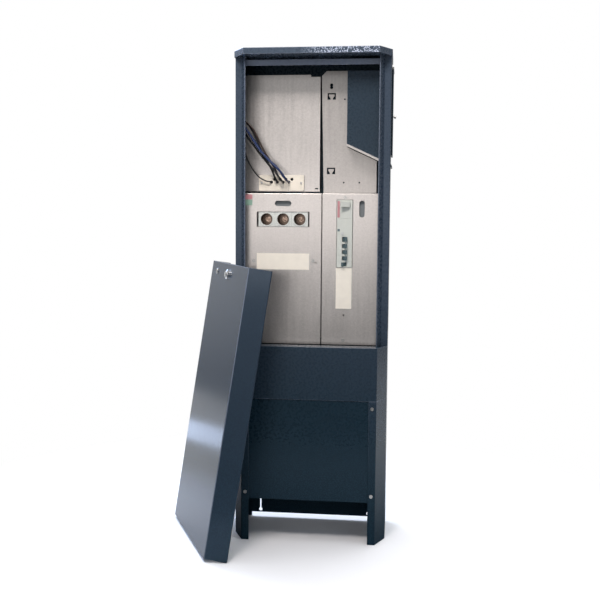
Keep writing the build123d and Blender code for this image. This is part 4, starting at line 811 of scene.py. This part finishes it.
def rounded_plate(name, left, right, low, high, front, thick, corner):
    """Thin upright plate with round corners, between two sides and two heights."""
    form = bmesh.new()
    rim = []
    for x, z, first in ((right - corner, low + corner, 3), (right - corner, high - corner, 0),
                        (left + corner, high - corner, 1), (left + corner, low + corner, 2)):
        for i in range(FIELD_CORNER_STEPS + 1):
            turn = (first + i / FIELD_CORNER_STEPS) * math.pi / 2
            place = (x + corner * math.cos(turn), front, z + corner * math.sin(turn))
            rim.append(form.verts.new(place))
    face = form.faces.new(rim)
    grown = bmesh.ops.extrude_face_region(form, geom=[face])["geom"]
    moved = [v for v in grown if isinstance(v, bmesh.types.BMVert)]
    bmesh.ops.translate(form, verts=moved, vec=(0.0, thick, 0.0))
    bmesh.ops.recalc_face_normals(form, faces=form.faces)
    mesh = bpy.data.meshes.new(name)
    form.to_mesh(mesh)
    form.free()
    return show(bpy.data.objects.new(name, mesh))


class CABINET_OT_fields(bpy.types.Operator):
    """Lays the plain stickers on the left cover and the main switch"""
    bl_idname = "cabinet.fields"
    bl_label = "Lay the stickers"

    def execute(self, context):
        for name, (node, inward, down, width, height, film) in FIELDS.items():
            lowest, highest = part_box(node)
            left = lowest.x + inward
            top = highest.z - down
            piece = rounded_plate(name, left, left + width, top - height, top,
                                  lowest.y - FIELD_THICK, FIELD_THICK, FIELD_CORNER)
            wear(piece, film)
            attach(piece, "cabinet")
        return {"FINISHED"}


def light(name, place, target, width, height, power, code):
    """Area light that faces a target."""
    lamp = bpy.data.lights.new(name, "AREA")
    lamp.shape = "RECTANGLE"
    lamp.size = width
    lamp.size_y = height
    lamp.energy = power
    lamp.color = colour(code)[:3]
    piece = show(bpy.data.objects.new(name, lamp))
    piece.location = place
    piece.visible_camera = False
    aim = Vector(target) - Vector(place)
    piece.rotation_euler = aim.to_track_quat("-Z", "Y").to_euler()


def studio_air():
    """White background, which metal mirrors too, and a dim, cool room that lights the object."""
    world = bpy.data.worlds.new("studio_air")
    world.use_nodes = True
    tree = world.node_tree
    way = add(tree, "ShaderNodeTexCoord", {}).outputs["Generated"]
    upward = add(tree, "ShaderNodeSeparateXYZ", {0: way}).outputs["Z"]
    dim = add(tree, "ShaderNodeMapRange",
              {"Value": upward, "From Min": ROOM_DARK, "From Max": ROOM_BRIGHT,
               "To Min": 0.12, "To Max": 0.55}).outputs["Result"]
    room = tree.nodes["Background"]
    fill(tree, room, {"Color": colour("#d3def0"), "Strength": dim})
    below = add(tree, "ShaderNodeMapRange",
                {"Value": upward, "From Min": ROOM_DARK, "From Max": ROOM_BRIGHT,
                 "To Min": 0.15, "To Max": 0.9}).outputs["Result"]
    above = add(tree, "ShaderNodeMapRange",
                {"Value": upward, "From Min": DIM_START, "From Max": DIM_END,
                 "To Min": 1.0, "To Max": 0.35}).outputs["Result"]
    mirrored = add(tree, "ShaderNodeMath", {0: below, 1: above}, operation="MULTIPLY").outputs[0]
    behind = add(tree, "ShaderNodeLightPath", {}).outputs["Is Camera Ray"]
    level = add(tree, "ShaderNodeMath", {0: mirrored, 1: behind}, operation="MAXIMUM").outputs[0]
    white = add(tree, "ShaderNodeBackground",
                {"Color": (1.0, 1.0, 1.0, 1.0), "Strength": level}).outputs[0]
    mix = add(tree, "ShaderNodeMixShader",
              {0: seen_directly(tree), 1: room.outputs[0], 2: white})
    fill(tree, tree.nodes["World Output"], {"Surface": mix.outputs[0]})
    return world


def studio_floor():
    """Large round pale floor."""
    mesh = bpy.data.meshes.new("studio_floor")
    form = bmesh.new()
    rim = []
    for i in range(FLOOR_SIDES):
        turn = 2 * math.pi * i / FLOOR_SIDES
        place = (FLOOR_RADIUS * math.cos(turn), FLOOR_MIDDLE + FLOOR_RADIUS * math.sin(turn),
                 -FLOOR_DROP)
        rim.append(form.verts.new(place))
    form.faces.new(rim)
    form.to_mesh(mesh)
    form.free()
    piece = show(bpy.data.objects.new("studio_floor", mesh))
    wear(piece, "pale_floor")
    return piece


def studio_camera():
    """Camera at the photograph's place and angle."""
    camera = bpy.data.cameras.new("photo_camera")
    camera.lens = CAMERA_LENS
    camera.sensor_width = CAMERA_SENSOR
    camera.sensor_fit = "HORIZONTAL"
    piece = show(bpy.data.objects.new("photo_camera", camera))
    turn = Matrix.Rotation(CAMERA_YAW, 3, "Z") @ Matrix.Rotation(CAMERA_PITCH, 3, "X")
    turn = turn @ Matrix.Rotation(CAMERA_ROLL, 3, "Y") @ Matrix.Rotation(math.pi / 2, 3, "X")
    piece.matrix_world = Matrix.Translation(CAMERA_PLACE) @ turn.to_4x4()
    bpy.context.scene.camera = piece


class CABINET_OT_stage(bpy.types.Operator):
    """Sets the floor, the studio light and the camera"""
    bl_idname = "cabinet.stage"
    bl_label = "Set the stage"

    def execute(self, context):
        scene = context.scene
        scene.view_settings.view_transform = "Standard"
        scene.world = studio_air()
        studio_floor()
        for name, values in LIGHTS.items():
            light(name, *values)
        studio_camera()
        return {"FINISHED"}


class CABINET_PT_sidebar(bpy.types.Panel):
    """Buttons for the meter cabinet's looks"""
    bl_idname = "CABINET_PT_sidebar"
    bl_label = "Meter cabinet"
    bl_space_type = "VIEW_3D"
    bl_region_type = "UI"
    bl_category = "Meter cabinet"

    def draw(self, context):
        for name in CabinetSettings.__annotations__:
            self.layout.prop(settings(), name)
        for step in STEPS:
            self.layout.operator(step.bl_idname)


STEPS = (CABINET_OT_finishes, CABINET_OT_wires, CABINET_OT_fields, CABINET_OT_stage)
CLASSES = (CabinetSettings, *STEPS, CABINET_PT_sidebar)


def register():
    """Adds the classes and the scene's settings."""
    for each in CLASSES:
        bpy.utils.register_class(each)
    bpy.types.Scene.meter_cabinet = bpy.props.PointerProperty(type=CabinetSettings)


def unregister():
    """Takes the settings and the classes away again."""
    del bpy.types.Scene.meter_cabinet
    for each in reversed(CLASSES):
        bpy.utils.unregister_class(each)


def main():
    """Registers the add-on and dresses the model."""
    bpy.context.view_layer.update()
    register()
    bpy.ops.cabinet.finishes()
    bpy.ops.cabinet.wires()
    bpy.ops.cabinet.fields()
    bpy.ops.cabinet.stage()
    bpy.context.view_layer.update()


if __name__ == "__main__":
    main()
